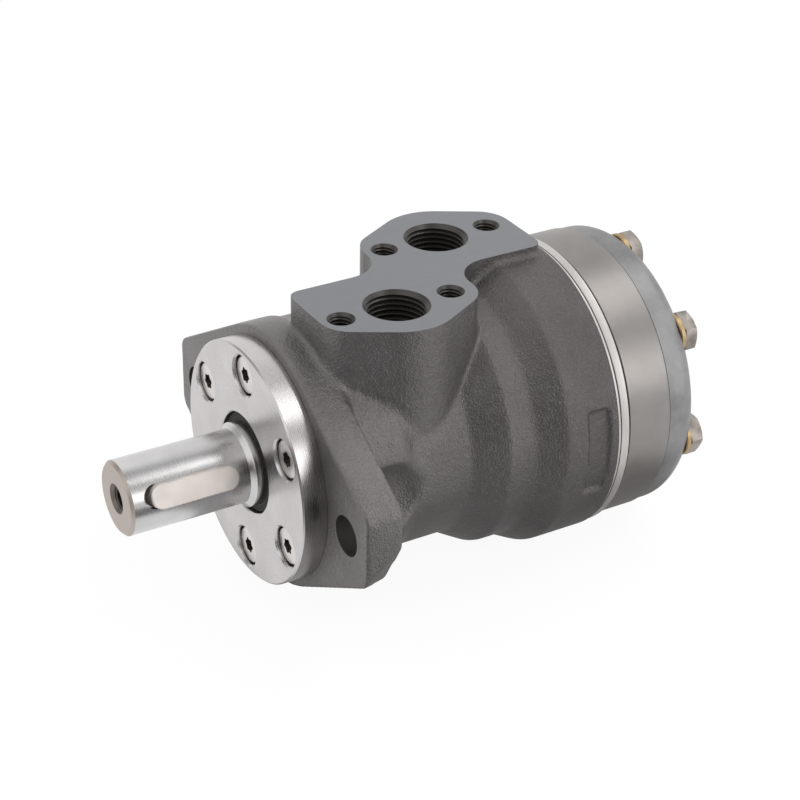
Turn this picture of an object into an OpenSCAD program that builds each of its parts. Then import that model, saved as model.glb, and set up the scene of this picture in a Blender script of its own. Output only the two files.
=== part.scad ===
// Orbital hydraulic motor: cast housing, keyed output shaft and a roller gear set.
// The shaft axis is Y with the output end toward -Y, the ports open toward +Z,
// and the origin is the centre of the mounting face of the flange.
// Angles about the shaft axis are counted from +X toward +Z.

/* [Mounting flange] */
// Thickness of the flange
flange_t = 13; // [11:0.5:16]
// Width across the two flat ear ends
flange_w = 132; // [130:0.5:138]
// Radius of the round middle of the flange
flange_round_r = 44.6; // [44:0.1:46]
// Slope of the straight edges that run out to the ears, in degrees
flange_slope = 31; // [27:0.5:34]
// Radius of the ear corners
ear_corner_r = 4.5; // [3:0.5:6]
// Diameter of the two fixing holes
ear_hole_d = 13.5; // [11:0.5:15]
// Distance between the two fixing holes
ear_hole_spacing = 106.4; // [104:0.1:109]
// Radius of the hollow that clears the fixing bolt's head
scoop_r = 17; // [14:0.5:18]
// Depth of that hollow behind the flange
scoop_len = 22; // [15:0.5:24]

/* [Casting] */
// Length from the mounting face to the joint with the distributor plate
housing_len = 103.8; // [100:0.1:110]
// Radius of the casting just behind the flange
neck_r = 43.5; // [42:0.1:44]
// Radius of the waist
waist_r = 40.2; // [38:0.1:42]
// Radius of the step between the waist and the rear barrel
step_r = 46.7; // [44:0.1:49]
// Radius of the rear barrel
barrel_r = 51.8; // [51:0.1:54]
// Where the neck ends, behind the mounting face
neck_end = 27; // [24:0.5:29]
// Where the waist begins, behind the mounting face
waist_start = 34.5; // [32:0.5:38]
// Where the waist ends, in front of the rear joint
waist_end = 51.3; // [48.5:0.1:56]
// Where the step begins, in front of the rear joint
step_start = 37.8; // [34.8:0.1:42]
// Where the step ends, in front of the rear joint
step_end = 30.8; // [28:0.1:34]
// Where the rear barrel begins, in front of the rear joint
barrel_start = 18.8; // [16:0.1:22]
// Chamfer at the rear edge of the barrel
barrel_chamfer = 0.8; // [0.3:0.1:1.5]

/* [Port face] */
// Height of the port face above the shaft axis
port_face_z = 55; // [53:0.1:60]
// Distance of each port from the centre plane
port_x = 18.2; // [17.5:0.1:20]
// Distance of the front port from the mounting face
port_y = 37.2; // [35:0.1:39]
// Distance of the rear port in front of the rear joint
rear_port_y = 30.2; // [28.6:0.1:32]
// Wall diameter of the threaded ports
port_d = 18.8; // [16:0.1:20]
// Depth of the ports' threaded wall
port_depth = 18; // [14:0.5:19]
// Diameter of the ports' chamfer at the face
port_chamfer_d = 21.8; // [21:0.1:24]
// Radius of the metal round each port
port_lobe_r = 19.5; // [17:0.1:20.5]
// Distance of the fixing holes from their port, along the shaft
stud_pitch = 20; // [18.5:0.1:21]
// Wall diameter of the threaded fixing holes
stud_hole_d = 6.8; // [5:0.1:8.5]
// Depth of the threaded fixing holes
stud_hole_depth = 14; // [8:0.5:16]
// Chamfer diameter of the fixing holes at the face
stud_chamfer_d = 9.2; // [8.6:0.1:11]
// Radius of the block's rounded ends at the fixing holes
stud_lobe_r = 11.5; // [10:0.1:12.5]
// Distance of those ends' middles from the port, along the shaft
stud_lobe_y = 16.5; // [15:0.1:17.5]
// How far each half of the face reaches past the block's middle
lobe_reach = 4.3; // [3:0.1:6]
// Radius of the outer corner of each half
lobe_corner_r = 4; // [2:0.5:6]
// Radius of the hollow corner between the two halves
lobe_fillet_r = 12; // [9:0.5:14]
// How far the cast block sits to the left of the ports' middle
block_left = 0.9; // [0:0.1:1.2]
// How far the cast block sits behind the ports' middle
block_back = 0.9; // [0:0.1:1.2]

/* [Passages] */
// Diameter of the bore that the shaft's valve drum runs in
valve_bore_d = 44; // [42:0.1:45]
// Diameter of the ring channels round the bore
channel_d = 51; // [49:0.1:52]
// Width of the ring channels
channel_w = 9; // [6:0.5:10]
// Diameter of the duct from each port to its channel
duct_d = 10; // [7:0.5:11]
// Distance of the ducts from the centre plane
duct_x = 13.7; // [12.5:0.1:14.2]
// Diameter of the passages to the gear set
passage_d = 5; // [4:0.1:5.4]
// Radius of the circle that the passages lie on
passage_r = 29.5; // [29:0.1:30]
// Distance of the check valves' seats in front of the rear joint
check_depth = 13.7; // [12:0.1:15]
// Radius of the circle that the check valves lie on
check_r = 27.2; // [27:0.1:27.6]
// Diameter of the check valve balls
check_ball_d = 6; // [5:0.1:6.4]
// Travel of a check valve ball off its seat
check_lift = 1.2; // [0.6:0.1:2]
// Clearance of a check valve ball in its bore, on the radius
check_gap = 0.4; // [0.3:0.05:0.6]

/* [Front cover] */
// Diameter of the centring collar
pilot_d = 82.5; // [80:0.1:84]
// Height of the collar in front of the mounting face
pilot_t = 8.5; // [8:0.1:10]
// Bore round the shaft at the front
cover_bore_d = 34.4; // [33:0.1:37]
// Diameter of the spigot inside the housing
spigot_d = 50; // [48.5:0.1:52]
// Length of the spigot inside the housing
spigot_len = 6; // [5.6:0.1:7]
// Number of cover screws
screw_count = 6; // [4:1:6]
// Pitch circle of the cover screws
screw_pcd = 65; // [64.5:0.1:67]
// Head diameter of the cover screws
screw_head_d = 12.6; // [11:0.1:13]
// Head height of the cover screws
screw_head_h = 3.8; // [3:0.1:4.2]
// Depth of the heads below the face
screw_recess = 2; // [1:0.1:2.4]
// Gap between a head and the wall of its pocket
screw_pocket_gap = 0.45; // [0.2:0.05:0.6]
// Thread diameter of the cover screws
screw_d = 8; // [6:0.5:8]
// Length of the cover screws under the head
screw_len = 16; // [12:0.5:18]
// Size of the six-lobed socket
socket_d = 6.4; // [5:0.1:7]

/* [Output shaft] */
// Diameter of the keyed shaft end
shaft_d = 25; // [22:0.5:26]
// Distance of the shaft's tip in front of the mounting face
shaft_reach = 53.5; // [50:0.5:70]
// Diameter where the seals run
journal_d = 28.5; // [27.5:0.1:30]
// Where the seal journal begins, in front of the mounting face
journal_front = 10.8; // [9.5:0.1:13]
// Chamfer of the shaft's tip
shaft_chamfer = 1; // [0.5:0.1:2]
// Wall diameter of the threaded centre hole
centre_hole_d = 6.8; // [5:0.1:8.5]
// Depth of the centre hole
centre_hole_depth = 22; // [12:1:26]
// Diameter of the centre hole's countersink
centre_sink_d = 9.4; // [9:0.1:12]
// Running clearance between the valve drum and its bore, on the radius
drum_gap = 0.03; // [0.015:0.005:0.08]
// Number of valve slots in the drum
slot_count = 12; // [12:2:12]
// Width of the valve slots
slot_w = 4.4; // [3:0.1:5]
// Depth of the valve slots
slot_depth = 2.8; // [2:0.1:3.5]

/* [Key] */
// Width of the key
key_w = 8; // [6:0.5:8]
// Height of the key
key_h = 7; // [6:0.5:7]
// Depth of the keyway from the shaft's outside
keyway_depth = 4; // [3:0.1:4.5]
// Length of the key
key_len = 30.4; // [20:0.1:31]
// Length of the keyway
keyway_len = 31.8; // [31.2:0.1:33]
// Distance of the keyway from the shaft's tip
keyway_inset = 4.7; // [3:0.1:5.5]
// Angle of the key about the shaft axis at rest
key_angle = 22; // [0:1:90]

/* [Gear set] */
// Width of the gear ring
ring_w = 17.6; // [16:0.1:22]
// Outside radius of the gear ring
ring_r = 50.2; // [50.1:0.1:51]
// Radius of the ring's bore between the rollers
ring_bore_r = 31.9; // [31.8:0.05:32.1]
// Radius of the circle that the roller centres lie on
roller_circle_r = 32; // [32:0.1:32.4]
// Radius of the rollers
roller_r = 6.2; // [5.8:0.05:6.4]
// Distance between the axes of the ring and the rotor
orbit_e = 2.9; // [2.6:0.05:2.9]
// Running clearance of the rollers and the rotor
mesh_gap = 0.06; // [0.03:0.01:0.1]
// Clearance at each end face of the rotor and the rollers
face_gap = 0.03; // [0.01:0.01:0.08]
// Thickness of the distributor plate
plate_t = 4.6; // [3:0.1:6]
// Radius of the distributor plate
plate_r = 51.3; // [50.4:0.1:51.5]
// Bore radius of the distributor plate
plate_bore_r = 13.5; // [12:0.1:15]

/* [Drive link] */
// Outside diameter of the spline heads
spline_d = 18; // [17:0.1:18.4]
// Depth of the spline teeth
spline_depth = 1.4; // [1:0.1:1.6]
// Number of spline teeth
spline_teeth = 12; // [10:1:12]
// Clearance between the spline teeth
spline_gap = 0.35; // [0.3:0.01:0.45]
// Half length of the spline heads
spline_half = 4.6; // [3.5:0.1:4.8]
// Diameter of the link between its heads
link_d = 12.5; // [9:0.5:14]
// Where the link's front head sits, behind the mounting face
link_front_y = 51; // [48:0.5:60]
// Thickness of the spacer in the rotor
spacer_t = 3.6; // [3:0.1:4]
// Radius of the spacer
spacer_r = 9.95; // [9.6:0.05:10]
// Running clearance of the spacer in the rotor, on the radius
spacer_gap = 0.05; // [0.03:0.01:0.1]

/* [End cover and bolts] */
// Thickness of the end cover
end_cover_t = 12; // [11:0.1:16]
// Outside radius of the end cover
end_cover_r = 49.7; // [49.5:0.1:50.4]
// Radius of the rounded rear edge of the end cover
end_round_r = 6; // [4.5:0.1:7]
// Depth of the flat seats that the bolt washers sit in
bolt_seat_depth = 2; // [1.5:0.1:2.5]
// Diameter of those seats
bolt_seat_d = 17; // [16.6:0.1:18]
// Number of bolts
bolt_count = 7; // [7:1:7]
// Radius of the bolt circle
bolt_circle_r = 42; // [41.5:0.1:42.3]
// Thread diameter of the bolts
bolt_d = 8; // [7:0.5:8]
// Width across the flats of the bolt heads
bolt_flats = 13; // [12:0.5:13]
// Height of the bolt heads
bolt_head_h = 5; // [4.5:0.1:6]
// How far the bolts reach into the housing
bolt_grip = 15; // [10:0.5:17]
// Thickness of the bolt washers
washer_t = 2; // [1:0.1:2.5]
// Outside diameter of the bolt washers
washer_d = 15.4; // [15.2:0.1:16]

/* [Seals and bearing] */
// Thickness of the large sealing rings between the rear pieces
ring_seal_t = 2; // [1.6:0.1:2.2]
// Radius of the circle that those rings lie on
ring_seal_r = 48.2; // [47.8:0.1:48.4]
// Outside diameter of the shaft seal
shaft_seal_d = 40; // [38:0.5:42]
// Width of the shaft seal
shaft_seal_w = 6; // [5:0.1:6.5]
// Thickness of the fixed thrust race
race_t = 1; // [0.8:0.1:1.5]
// Diameter of the thrust needles
needle_d = 2; // [1.6:0.1:2.5]
// Number of thrust needles
needle_count = 24; // [18:1:28]
// Clearance between a seal lip and the shaft
lip_gap = 0.05; // [0.03:0.01:0.1]
// Thickness of the ring that supports the shaft seal
seal_support_t = 1.6; // [1.2:0.1:2]
// Width of the dust seal
dust_seal_w = 3.3; // [2.8:0.1:3.4]
// Distance of the dust seal behind the collar's face
dust_seal_inset = 1.6; // [1.5:0.1:2]
// Thickness of the cover's sealing ring
cover_seal_t = 1.84; // [1.6:0.01:1.84]

/* [Drain] */
// Angle of the drain about the shaft axis
drain_angle = 240; // [225:1:250]
// Distance of the drain from the mounting face
drain_y = 22; // [21:0.5:24]
// Thread diameter of the drain plug
drain_d = 13; // [10:0.5:13.5]
// Length of the plug's thread
drain_thread_len = 9; // [7:0.5:11]
// Height of the plug's head
drain_head_h = 3.6; // [3:0.1:5]
// How far the plug's head and washer reach past the thread
drain_rim = 3; // [2.5:0.1:3.5]
// Thickness of the plug's washer
drain_washer_t = 1.2; // [0.8:0.1:1.5]
// Width across the flats of the plug's socket
drain_flats = 6; // [5:0.5:6]
// Depth of the plug's socket
drain_socket_depth = 7.8; // [5:0.1:9]
// Metal round the plug's thread
drain_wall = 4.5; // [4:0.1:6]
// Height of the drain boss above the neck
drain_boss_h = 1.5; // [1:0.1:2.5]

/* [Fits] */
// Clearance of pieces that are seated in each other, on the radius
fit_gap = 0.05; // [0.02:0.01:0.1]

/* [Hidden] */
$fn = 96;
eps = 0.5;

// Stations along the shaft, from the front to the rear
ring_front = housing_len + plate_t;
ring_rear = ring_front + ring_w;
cover_rear = ring_rear + end_cover_t;
bolt_seat_y = cover_rear - bolt_seat_depth;
rotor_y = (ring_front + ring_rear) / 2;
dust_seal_rear = -pilot_t + dust_seal_inset + dust_seal_w;
seal_seat_y = spigot_len - shaft_seal_w - seal_support_t;
cover_seal_y = spigot_len / 2 - 0.05 * cover_seal_t;
race_rear = spigot_len + race_t;
needle_rear = race_rear + needle_d + 0.1;
drum_front = needle_rear + 0.05;
drum_rear = housing_len - 1.2;

// Radii that follow from the sizes above
valve_bore_r = valve_bore_d / 2;
drum_r = valve_bore_r - drum_gap;
journal_r = journal_d / 2;
cover_bore_r = cover_bore_d / 2;
shaft_seal_r = shaft_seal_d / 2;

// The gear set: rollers lie midway between the bolts, one bolt is at the top
lobe_count = bolt_count - 1;
bolt_start = 90;
roller_start = bolt_start + 180 / bolt_count;
orbit_angle = bolt_count * roller_start;
rotor_x = orbit_e * cos(orbit_angle);
rotor_z = orbit_e * sin(orbit_angle);

// The drive link leans from its pivot in the shaft to the centre of the rotor
link_len = rotor_y - link_front_y;
link_tilt = atan(orbit_e / link_len);
link_cavity_r = 12;
spline_r = spline_d / 2;

front_annulus_y = port_y;
rear_annulus_y = housing_len - rear_port_y;
port_pitch = rear_annulus_y - port_y;
face_centre_y = port_y + port_pitch / 2;
window_y = face_centre_y;
check_seat_y = housing_len - check_depth;
check_bore_r = check_ball_d / 2 + check_gap;
check_ball_y = check_seat_y + sqrt(pow(check_ball_d / 2, 2) - pow(check_ball_d / 3, 2));
plug_front_y = check_ball_y + check_ball_d / 2 + check_lift + 0.1;

drain_seat = neck_r + drain_boss_h;
drain_hole_start = drain_seat - drain_thread_len - 5 - (valve_bore_r - 1);

CASTING = [0.34, 0.33, 0.33];
STEEL = [0.80, 0.80, 0.81];
DARK_STEEL = [0.46, 0.44, 0.43];
COVER_GREY = [0.52, 0.53, 0.55];
BRASS = [0.74, 0.62, 0.36];
RUBBER = [0.10, 0.10, 0.11];
BRIGHT = [0.88, 0.87, 0.86];

// Helpers: shapes about the shaft axis

// Stands its children's +Z along the shaft, toward the rear, at a distance y
module on_axis(y) {
    translate([0, y, 0]) rotate([-90, 0, 0]) children();
}

module drum(r, y0, y1) {
    on_axis(y0) cylinder(r = r, h = y1 - y0);
}

module hoop(r_out, r_in, y0, y1) {
    difference() {
        drum(r_out, y0, y1);
        drum(r_in, y0 - eps, y1 + eps);
    }
}

// Turns a list of [radius, y] points about the shaft
module turned(points) {
    rotate([-90, 0, 0]) rotate_extrude() polygon(points);
}

// Pushes a flat shape, drawn as [x, z], along the shaft from y0 to y1
module profile(y0, y1) {
    on_axis(y0) linear_extrude(height = y1 - y0) mirror([0, 1]) children();
}

// Places its children at one angle and radius about the shaft
module polar(angle, r) {
    rotate([0, -angle, 0]) translate([r, 0, 0]) children();
}

module around(count, start, r) {
    for (i = [0 : count - 1]) polar(start + i * 360 / count, r) children();
}

// A smooth rise or fall from one radius to another, as [radius, y] points
function ease(y0, y1, r0, r1, steps) = [
    for (i = [0 : steps]) [
        r0 + (r1 - r0) * (1 - cos(180 * i / steps)) / 2,
        y0 + (y1 - y0) * i / steps
    ]
];

// A quarter of a circle as [radius, y] points
function quarter(centre, r, a0, steps) = [
    for (i = [0 : steps]) centre + r * [cos(a0 + 90 * i / steps), sin(a0 + 90 * i / steps)]
];

// Points along an arc, from angle a0 to a1
function arc(centre, r, a0, a1, steps) = [
    for (i = [0 : steps]) let (a = a0 + (a1 - a0) * i / steps) centre + r * [cos(a), sin(a)]
];

// Housing

// The corner circles touch the straight edges and the flat ear ends
corner_x = flange_w / 2 - ear_corner_r;
corner_z = (flange_round_r - ear_corner_r - corner_x * sin(flange_slope)) / cos(flange_slope);

module flange_outline() {
    lean = 90 - flange_slope;
    polygon(concat(
        arc([0, 0], flange_round_r, lean, 180 - lean, 20),
        arc([-corner_x, corner_z], ear_corner_r, 180 - lean, 180, 6),
        arc([-corner_x, -corner_z], ear_corner_r, 180, 180 + lean, 6),
        arc([0, 0], flange_round_r, 180 + lean, 360 - lean, 20),
        arc([corner_x, -corner_z], ear_corner_r, -lean, 0, 6),
        arc([corner_x, corner_z], ear_corner_r, 0, lean, 6)
    ));
}

// One half of the port face, seen from above as [x, y]: the outer corner, the rounded end
// at the front fixing hole, the metal round the port, the rounded end at the rear fixing
// hole, and the hollow corner behind
lobe_lean = asin((port_lobe_r - stud_lobe_r) / stud_lobe_y);
lobe_front = port_y - stud_lobe_y - stud_lobe_r;
lobe_rear = port_y + stud_lobe_y + stud_lobe_r;
half_lobe = concat(
    arc([lobe_corner_r - lobe_reach, lobe_front + lobe_corner_r], lobe_corner_r, 180, 270, 7),
    arc([port_x, port_y - stud_lobe_y], stud_lobe_r, -90, -lobe_lean, 7),
    arc([port_x, port_y], port_lobe_r, -lobe_lean, lobe_lean, 9),
    arc([port_x, port_y + stud_lobe_y], stud_lobe_r, lobe_lean, 90, 7),
    arc([lobe_reach + lobe_fillet_r, lobe_rear + lobe_fillet_r], lobe_fillet_r, 270, 180, 10)
);

module port_outline() {
    translate([-block_left, block_back])
        polygon(concat(half_lobe, [for (p = half_lobe) [-p.x, 2 * face_centre_y - p.y]]));
}

barrel_profile = concat(
    [[0, 0.01], [neck_r, 0.01]],
    ease(neck_end, waist_start, neck_r, waist_r, 6),
    ease(housing_len - waist_end, housing_len - step_start, waist_r, step_r, 9),
    ease(housing_len - step_end, housing_len - barrel_start, step_r, barrel_r, 9),
    [[barrel_r, housing_len - barrel_chamfer], [barrel_r - barrel_chamfer, housing_len], [0, housing_len]]
);

module housing_body() {
    profile(0, flange_t) flange_outline();
    turned(barrel_profile);
    translate([0, 0, 8]) linear_extrude(height = port_face_z - 8) port_outline();
    // Boss of the drain
    translate([0, drain_y, 0]) polar(drain_angle, passage_r) rotate([0, 90, 0])
        cylinder(r = drain_d / 2 + drain_wall, h = drain_seat - passage_r);
}

// A drilled and chamfered hole from the port face
module tapped_from_face(x, y, d, depth, chamfer_d) {
    translate([x, y, port_face_z - depth]) cylinder(d = d, h = depth + eps);
    bevel = (chamfer_d - d) / 2;
    translate([x, y, port_face_z - bevel * 0.6]) cylinder(d1 = d, d2 = chamfer_d, h = bevel * 0.6 + 0.001);
    translate([x, y, port_face_z]) cylinder(d = chamfer_d, h = eps);
    translate([x, y, port_face_z - depth - d * 0.3]) cylinder(d1 = 0.2, d2 = d, h = d * 0.3 + 0.001);
}

module port_cuts() {
    for (side = [1, -1]) {
        y = face_centre_y - side * port_pitch / 2;
        tapped_from_face(side * port_x, y, port_d, port_depth, port_chamfer_d);
        for (k = [-1, 1])
            tapped_from_face(side * port_x, y + k * stud_pitch, stud_hole_d, stud_hole_depth, stud_chamfer_d);
        translate([side * duct_x, y, valve_bore_r - 2])
            cylinder(d = duct_d, h = port_face_z - port_depth - valve_bore_r + 2.1);
    }
}

// The hollow behind an ear that lets the fixing bolt's head turn
module bolt_scoop() {
    round_r = 5;
    translate([ear_hole_spacing / 2, flange_t, 0])
        turned(concat([[0, 0], [scoop_r, 0]], quarter([scoop_r - round_r, scoop_len - round_r], round_r, 0, 5),
            [[0, scoop_len]]));
}

module passage_cuts() {
    for (i = [0 : bolt_count - 1]) rotate([0, -bolt_start - i * 360 / bolt_count, 0]) {
        translate([passage_r, 0, 0]) drum(passage_d / 2, window_y, housing_len + eps);
        translate([valve_bore_r - 1, window_y + passage_d / 2, 0]) rotate([0, 90, 0])
            cylinder(d = passage_d * 0.9, h = passage_r - valve_bore_r + 1);
    }
}

module check_cuts() {
    for (angle = check_angles) polar(angle, check_r) {
        drum(check_bore_r, check_seat_y, housing_len + eps);
        drum(check_ball_d / 3, rear_annulus_y, check_seat_y + 0.1);
    }
}
check_angles = [roller_start + 360 * 3 / bolt_count, roller_start + 360 * 4 / bolt_count];

module drain_cuts() {
    translate([0, drain_y, 0]) polar(drain_angle, valve_bore_r - 1) rotate([0, 90, 0]) {
        cylinder(d = drain_d / 2, h = drain_seat);
        translate([0, 0, drain_hole_start]) cylinder(d = drain_d + 2 * fit_gap, h = drain_seat);
    }
}

module housing() {
    color(CASTING) difference() {
        housing_body();
        drum(spigot_d / 2 + fit_gap, -eps, spigot_len);
        drum(valve_bore_r, spigot_len - eps, housing_len + eps);
        for (y = [front_annulus_y, rear_annulus_y]) drum(channel_d / 2, y - channel_w / 2, y + channel_w / 2);
        drum(channel_d / 2 - 1, drain_y - channel_w / 2, drain_y + channel_w / 2);
        port_cuts();
        passage_cuts();
        check_cuts();
        drain_cuts();
        for (side = [-1, 1]) {
            translate([side * ear_hole_spacing / 2, 0, 0]) drum(ear_hole_d / 2, -eps, flange_t + eps);
            mirror([side > 0 ? 0 : 1, 0, 0]) bolt_scoop();
        }
        around(screw_count, 90, screw_pcd / 2) drum(screw_d / 2 + fit_gap, -eps, screw_len + 1);
        around(bolt_count, bolt_start, bolt_circle_r)
            drum(bolt_d / 2 + fit_gap, housing_len - bolt_grip - 1.5, housing_len + eps);
        hoop(ring_seal_r + 1.2, ring_seal_r - 1.2, housing_len - ring_seal_t * 0.75, housing_len + eps);
    }
}

// Front cover, its screws and its seals

module front_cover() {
    head_seat = -pilot_t + screw_recess + screw_head_h;
    color(BRIGHT) difference() {
        turned([
            [cover_bore_r, -pilot_t], [pilot_d / 2 - 1, -pilot_t], [pilot_d / 2, -pilot_t + 1],
            [pilot_d / 2, 0], [spigot_d / 2, 0], [spigot_d / 2, spigot_len - 0.5],
            [spigot_d / 2 - 0.5, spigot_len], [shaft_seal_r + fit_gap, spigot_len],
            [shaft_seal_r + fit_gap, seal_seat_y], [journal_r + 1, seal_seat_y],
            [journal_r + 1, dust_seal_rear], [cover_bore_r, dust_seal_rear]
        ]);
        around(screw_count, 90, screw_pcd / 2) {
            drum(screw_head_d / 2 + screw_pocket_gap, -pilot_t - eps, head_seat);
            drum(screw_d / 2 + fit_gap, -pilot_t, eps);
        }
        // Groove of the cover's sealing ring
        hoop(spigot_d / 2 + 1, spigot_d / 2 - cover_seal_t - 0.06,
            cover_seal_y - cover_seal_t * 0.7, cover_seal_y + cover_seal_t * 0.7);
    }
}

// A six-lobed socket: three crossed slots with round ends about a round middle
module six_lobe(d) {
    circle(d = d * 0.76, $fn = 32);
    for (i = [0 : 5]) rotate(i * 60) translate([d * 0.385, 0]) circle(d = d * 0.23, $fn = 24);
}

module cover_screw() {
    top = -pilot_t + screw_recess;
    difference() {
        union() {
            turned([
                [0, top], [screw_head_d / 2 - 0.6, top], [screw_head_d / 2, top + 0.6],
                [screw_head_d / 2, top + screw_head_h], [0, top + screw_head_h]
            ]);
            turned([
                [0, top + screw_head_h], [screw_d / 2, top + screw_head_h],
                [screw_d / 2, top + screw_head_h + screw_len - 1],
                [screw_d / 2 - 1, top + screw_head_h + screw_len], [0, top + screw_head_h + screw_len]
            ]);
        }
        profile(top - eps, top + 2.6) six_lobe(socket_d);
    }
}

module front_cover_screws() {
    color(STEEL) around(screw_count, 90, screw_pcd / 2) cover_screw();
}

// A round sealing ring squeezed into its groove
module sealing_ring(r, y, section, squeeze) {
    turned([
        for (a = [0 : 22.5 : 337.5]) [r + section / 2 * cos(a), y + squeeze * section / 2 * sin(a)]
    ]);
}

module front_cover_seal() {
    color(RUBBER) sealing_ring(spigot_d / 2 - cover_seal_t / 2 - 0.01, cover_seal_y, cover_seal_t, 1);
}

module dust_seal() {
    front = -pilot_t + dust_seal_inset;
    rear = dust_seal_rear;
    color(RUBBER) turned([
        [cover_bore_r - fit_gap, rear], [cover_bore_r - fit_gap, front + 0.5],
        [cover_bore_r - 0.5, front], [cover_bore_r - 1.2, front + 0.2],
        [journal_r + lip_gap, front - 0.4], [journal_r + lip_gap, front + 0.3],
        [journal_r + 0.9, rear - 0.6], [journal_r + 0.9, rear]
    ]);
}

// The seal's outline: an outer wall, a web and a lip that hugs the journal
module shaft_seal() {
    front = seal_seat_y;
    rear = seal_seat_y + shaft_seal_w;
    color(RUBBER) turned([
        [shaft_seal_r, front], [shaft_seal_r, rear], [shaft_seal_r - 1.4, rear],
        [shaft_seal_r - 1.4, front + 1.4], [journal_r + 2, front + 1.4],
        [journal_r + 1.6, rear - 2.6], [journal_r + 1.6, rear - 1.6], [journal_r + 2.2, rear - 1.2],
        [journal_r + 1, rear - 0.6], [journal_r + lip_gap, rear - 2], [journal_r + 0.8, front]
    ]);
}

module shaft_seal_spring() {
    rear = seal_seat_y + shaft_seal_w;
    color(STEEL) sealing_ring(journal_r + 2.12, rear - 2.1, 0.9, 1);
}

module seal_support_ring() {
    rear = seal_seat_y + shaft_seal_w;
    color(STEEL) hoop(shaft_seal_r, journal_r + 0.6, rear, spigot_len);
}

// Thrust bearing

module thrust_race() {
    color(STEEL) hoop(valve_bore_r - 0.2, journal_r + 0.4, spigot_len, race_rear);
}

module thrust_needle_cage() {
    middle = race_rear + 0.05 + needle_d / 2;
    r_in = journal_r + 0.05;
    r_out = valve_bore_r - 0.5;
    color(BRASS) {
        hoop(r_out, r_in, middle - 0.55, middle + 0.55);
        around(needle_count, 0, r_in + 1.2)
            translate([0, middle, 0]) rotate([0, 90, 0]) cylinder(d = needle_d, h = r_out - r_in - 2.4, $fn = 24);
    }
}

// Output shaft

// Outline of a spline, tooth by tooth; grow widens every tooth and moves it outward
function spline_points(grow) = [
    for (i = [0 : spline_teeth - 1])
        let (
            a = i * 360 / spline_teeth,
            tip = spline_r + grow,
            root = spline_r - spline_depth + grow,
            half_tip = 360 / spline_teeth * 0.17 + grow * 57.3 / tip,
            half_root = 360 / spline_teeth * 0.24 + grow * 57.3 / root
        )
        for (p = [[root, -half_root], [tip, -half_tip], [tip, half_tip], [root, half_root]])
            p[0] * [cos(a + p[1]), sin(a + p[1])]
];

keyway_floor = shaft_d / 2 - keyway_depth;
keyway_front = -shaft_reach + keyway_inset;
keyway_rear = keyway_front + keyway_len;
key_front = keyway_rear - key_len;

// A bar with round ends, lying along the shaft from y0 to y1
module round_ended(w, y0, y1, r0, r1) {
    rotate([0, 90 - key_angle, 0]) translate([0, 0, r0]) linear_extrude(height = r1 - r0) {
        translate([0, y0 + w / 2]) circle(d = w);
        translate([0, y1 - w / 2]) circle(d = w);
        translate([-w / 2, y0 + w / 2]) square([w, y1 - y0 - w]);
    }
}

module output_shaft() {
    slot_floor = drum_r - slot_depth - 0.3;
    link_pocket = link_front_y - spline_half - 2.1;
    color(STEEL) difference() {
        // The turned blank, which turns with the keyway
        rotate([0, -key_angle, 0]) turned([
            [0, -shaft_reach], [shaft_d / 2 - shaft_chamfer, -shaft_reach],
            [shaft_d / 2, -shaft_reach + shaft_chamfer], [shaft_d / 2, -journal_front - 1.5],
            [journal_r, -journal_front], [journal_r, drum_front], [drum_r - 0.5, drum_front],
            [drum_r, drum_front + 0.5], [drum_r, drum_rear - 0.5], [drum_r - 0.5, drum_rear], [0, drum_rear]
        ]);
        // Threaded centre hole
        drum(centre_hole_d / 2, -shaft_reach - eps, -shaft_reach + centre_hole_depth);
        sink = (centre_sink_d - centre_hole_d) / 2;
        turned([
            [0, -shaft_reach - eps], [centre_sink_d / 2, -shaft_reach - eps],
            [centre_sink_d / 2, -shaft_reach], [centre_hole_d / 2, -shaft_reach + sink],
            [0, -shaft_reach + sink]
        ]);
        round_ended(key_w + 2 * 0.02, keyway_front, keyway_rear, keyway_floor, shaft_d);
        // Ring grooves of the valve, facing the channels of the ports
        for (y = [front_annulus_y, rear_annulus_y])
            hoop(drum_r + 1, drum_r - slot_depth, y - channel_w / 2 + 1, y + channel_w / 2 - 1);
        // Valve slots, in turn from the front groove and from the rear groove
        for (i = [0 : slot_count - 1]) {
            front = i % 2 == 0;
            y0 = front ? front_annulus_y : window_y - passage_d;
            y1 = front ? window_y + passage_d : rear_annulus_y;
            rotate([0, -i * 360 / slot_count, 0]) translate([slot_floor, y0, -slot_w / 2])
                cube([slot_depth + 1.3, y1 - y0, slot_w]);
        }
        // Splined pocket and the room in which the link swings
        profile(link_pocket, link_front_y + spline_half + 1.6) polygon(spline_points(spline_gap));
        turned([
            [0, link_front_y + spline_half + 1.5],
            [spline_r + spline_gap + 0.4, link_front_y + spline_half + 1.5],
            [link_cavity_r, link_front_y + spline_half + 5], [link_cavity_r, drum_rear + eps],
            [0, drum_rear + eps]
        ]);
        // Weep holes that let leakage reach the drain
        for (a = [15, 195]) rotate([0, -a, 0]) translate([0, drain_y, 0])
            rotate([0, 90, 0]) cylinder(d = 3, h = drum_r + 1);
        drum(2, drain_y - 2.5, link_pocket + 1);
    }
}

module shaft_key() {
    top = keyway_floor + key_h;
    bevel = 0.35;
    color(BRIGHT) union() {
        round_ended(key_w, key_front, keyway_rear, keyway_floor, top - bevel);
        round_ended(key_w - 2 * bevel, key_front + bevel, keyway_rear - bevel, top - bevel - 0.01, top);
    }
}

// Drive link

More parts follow.
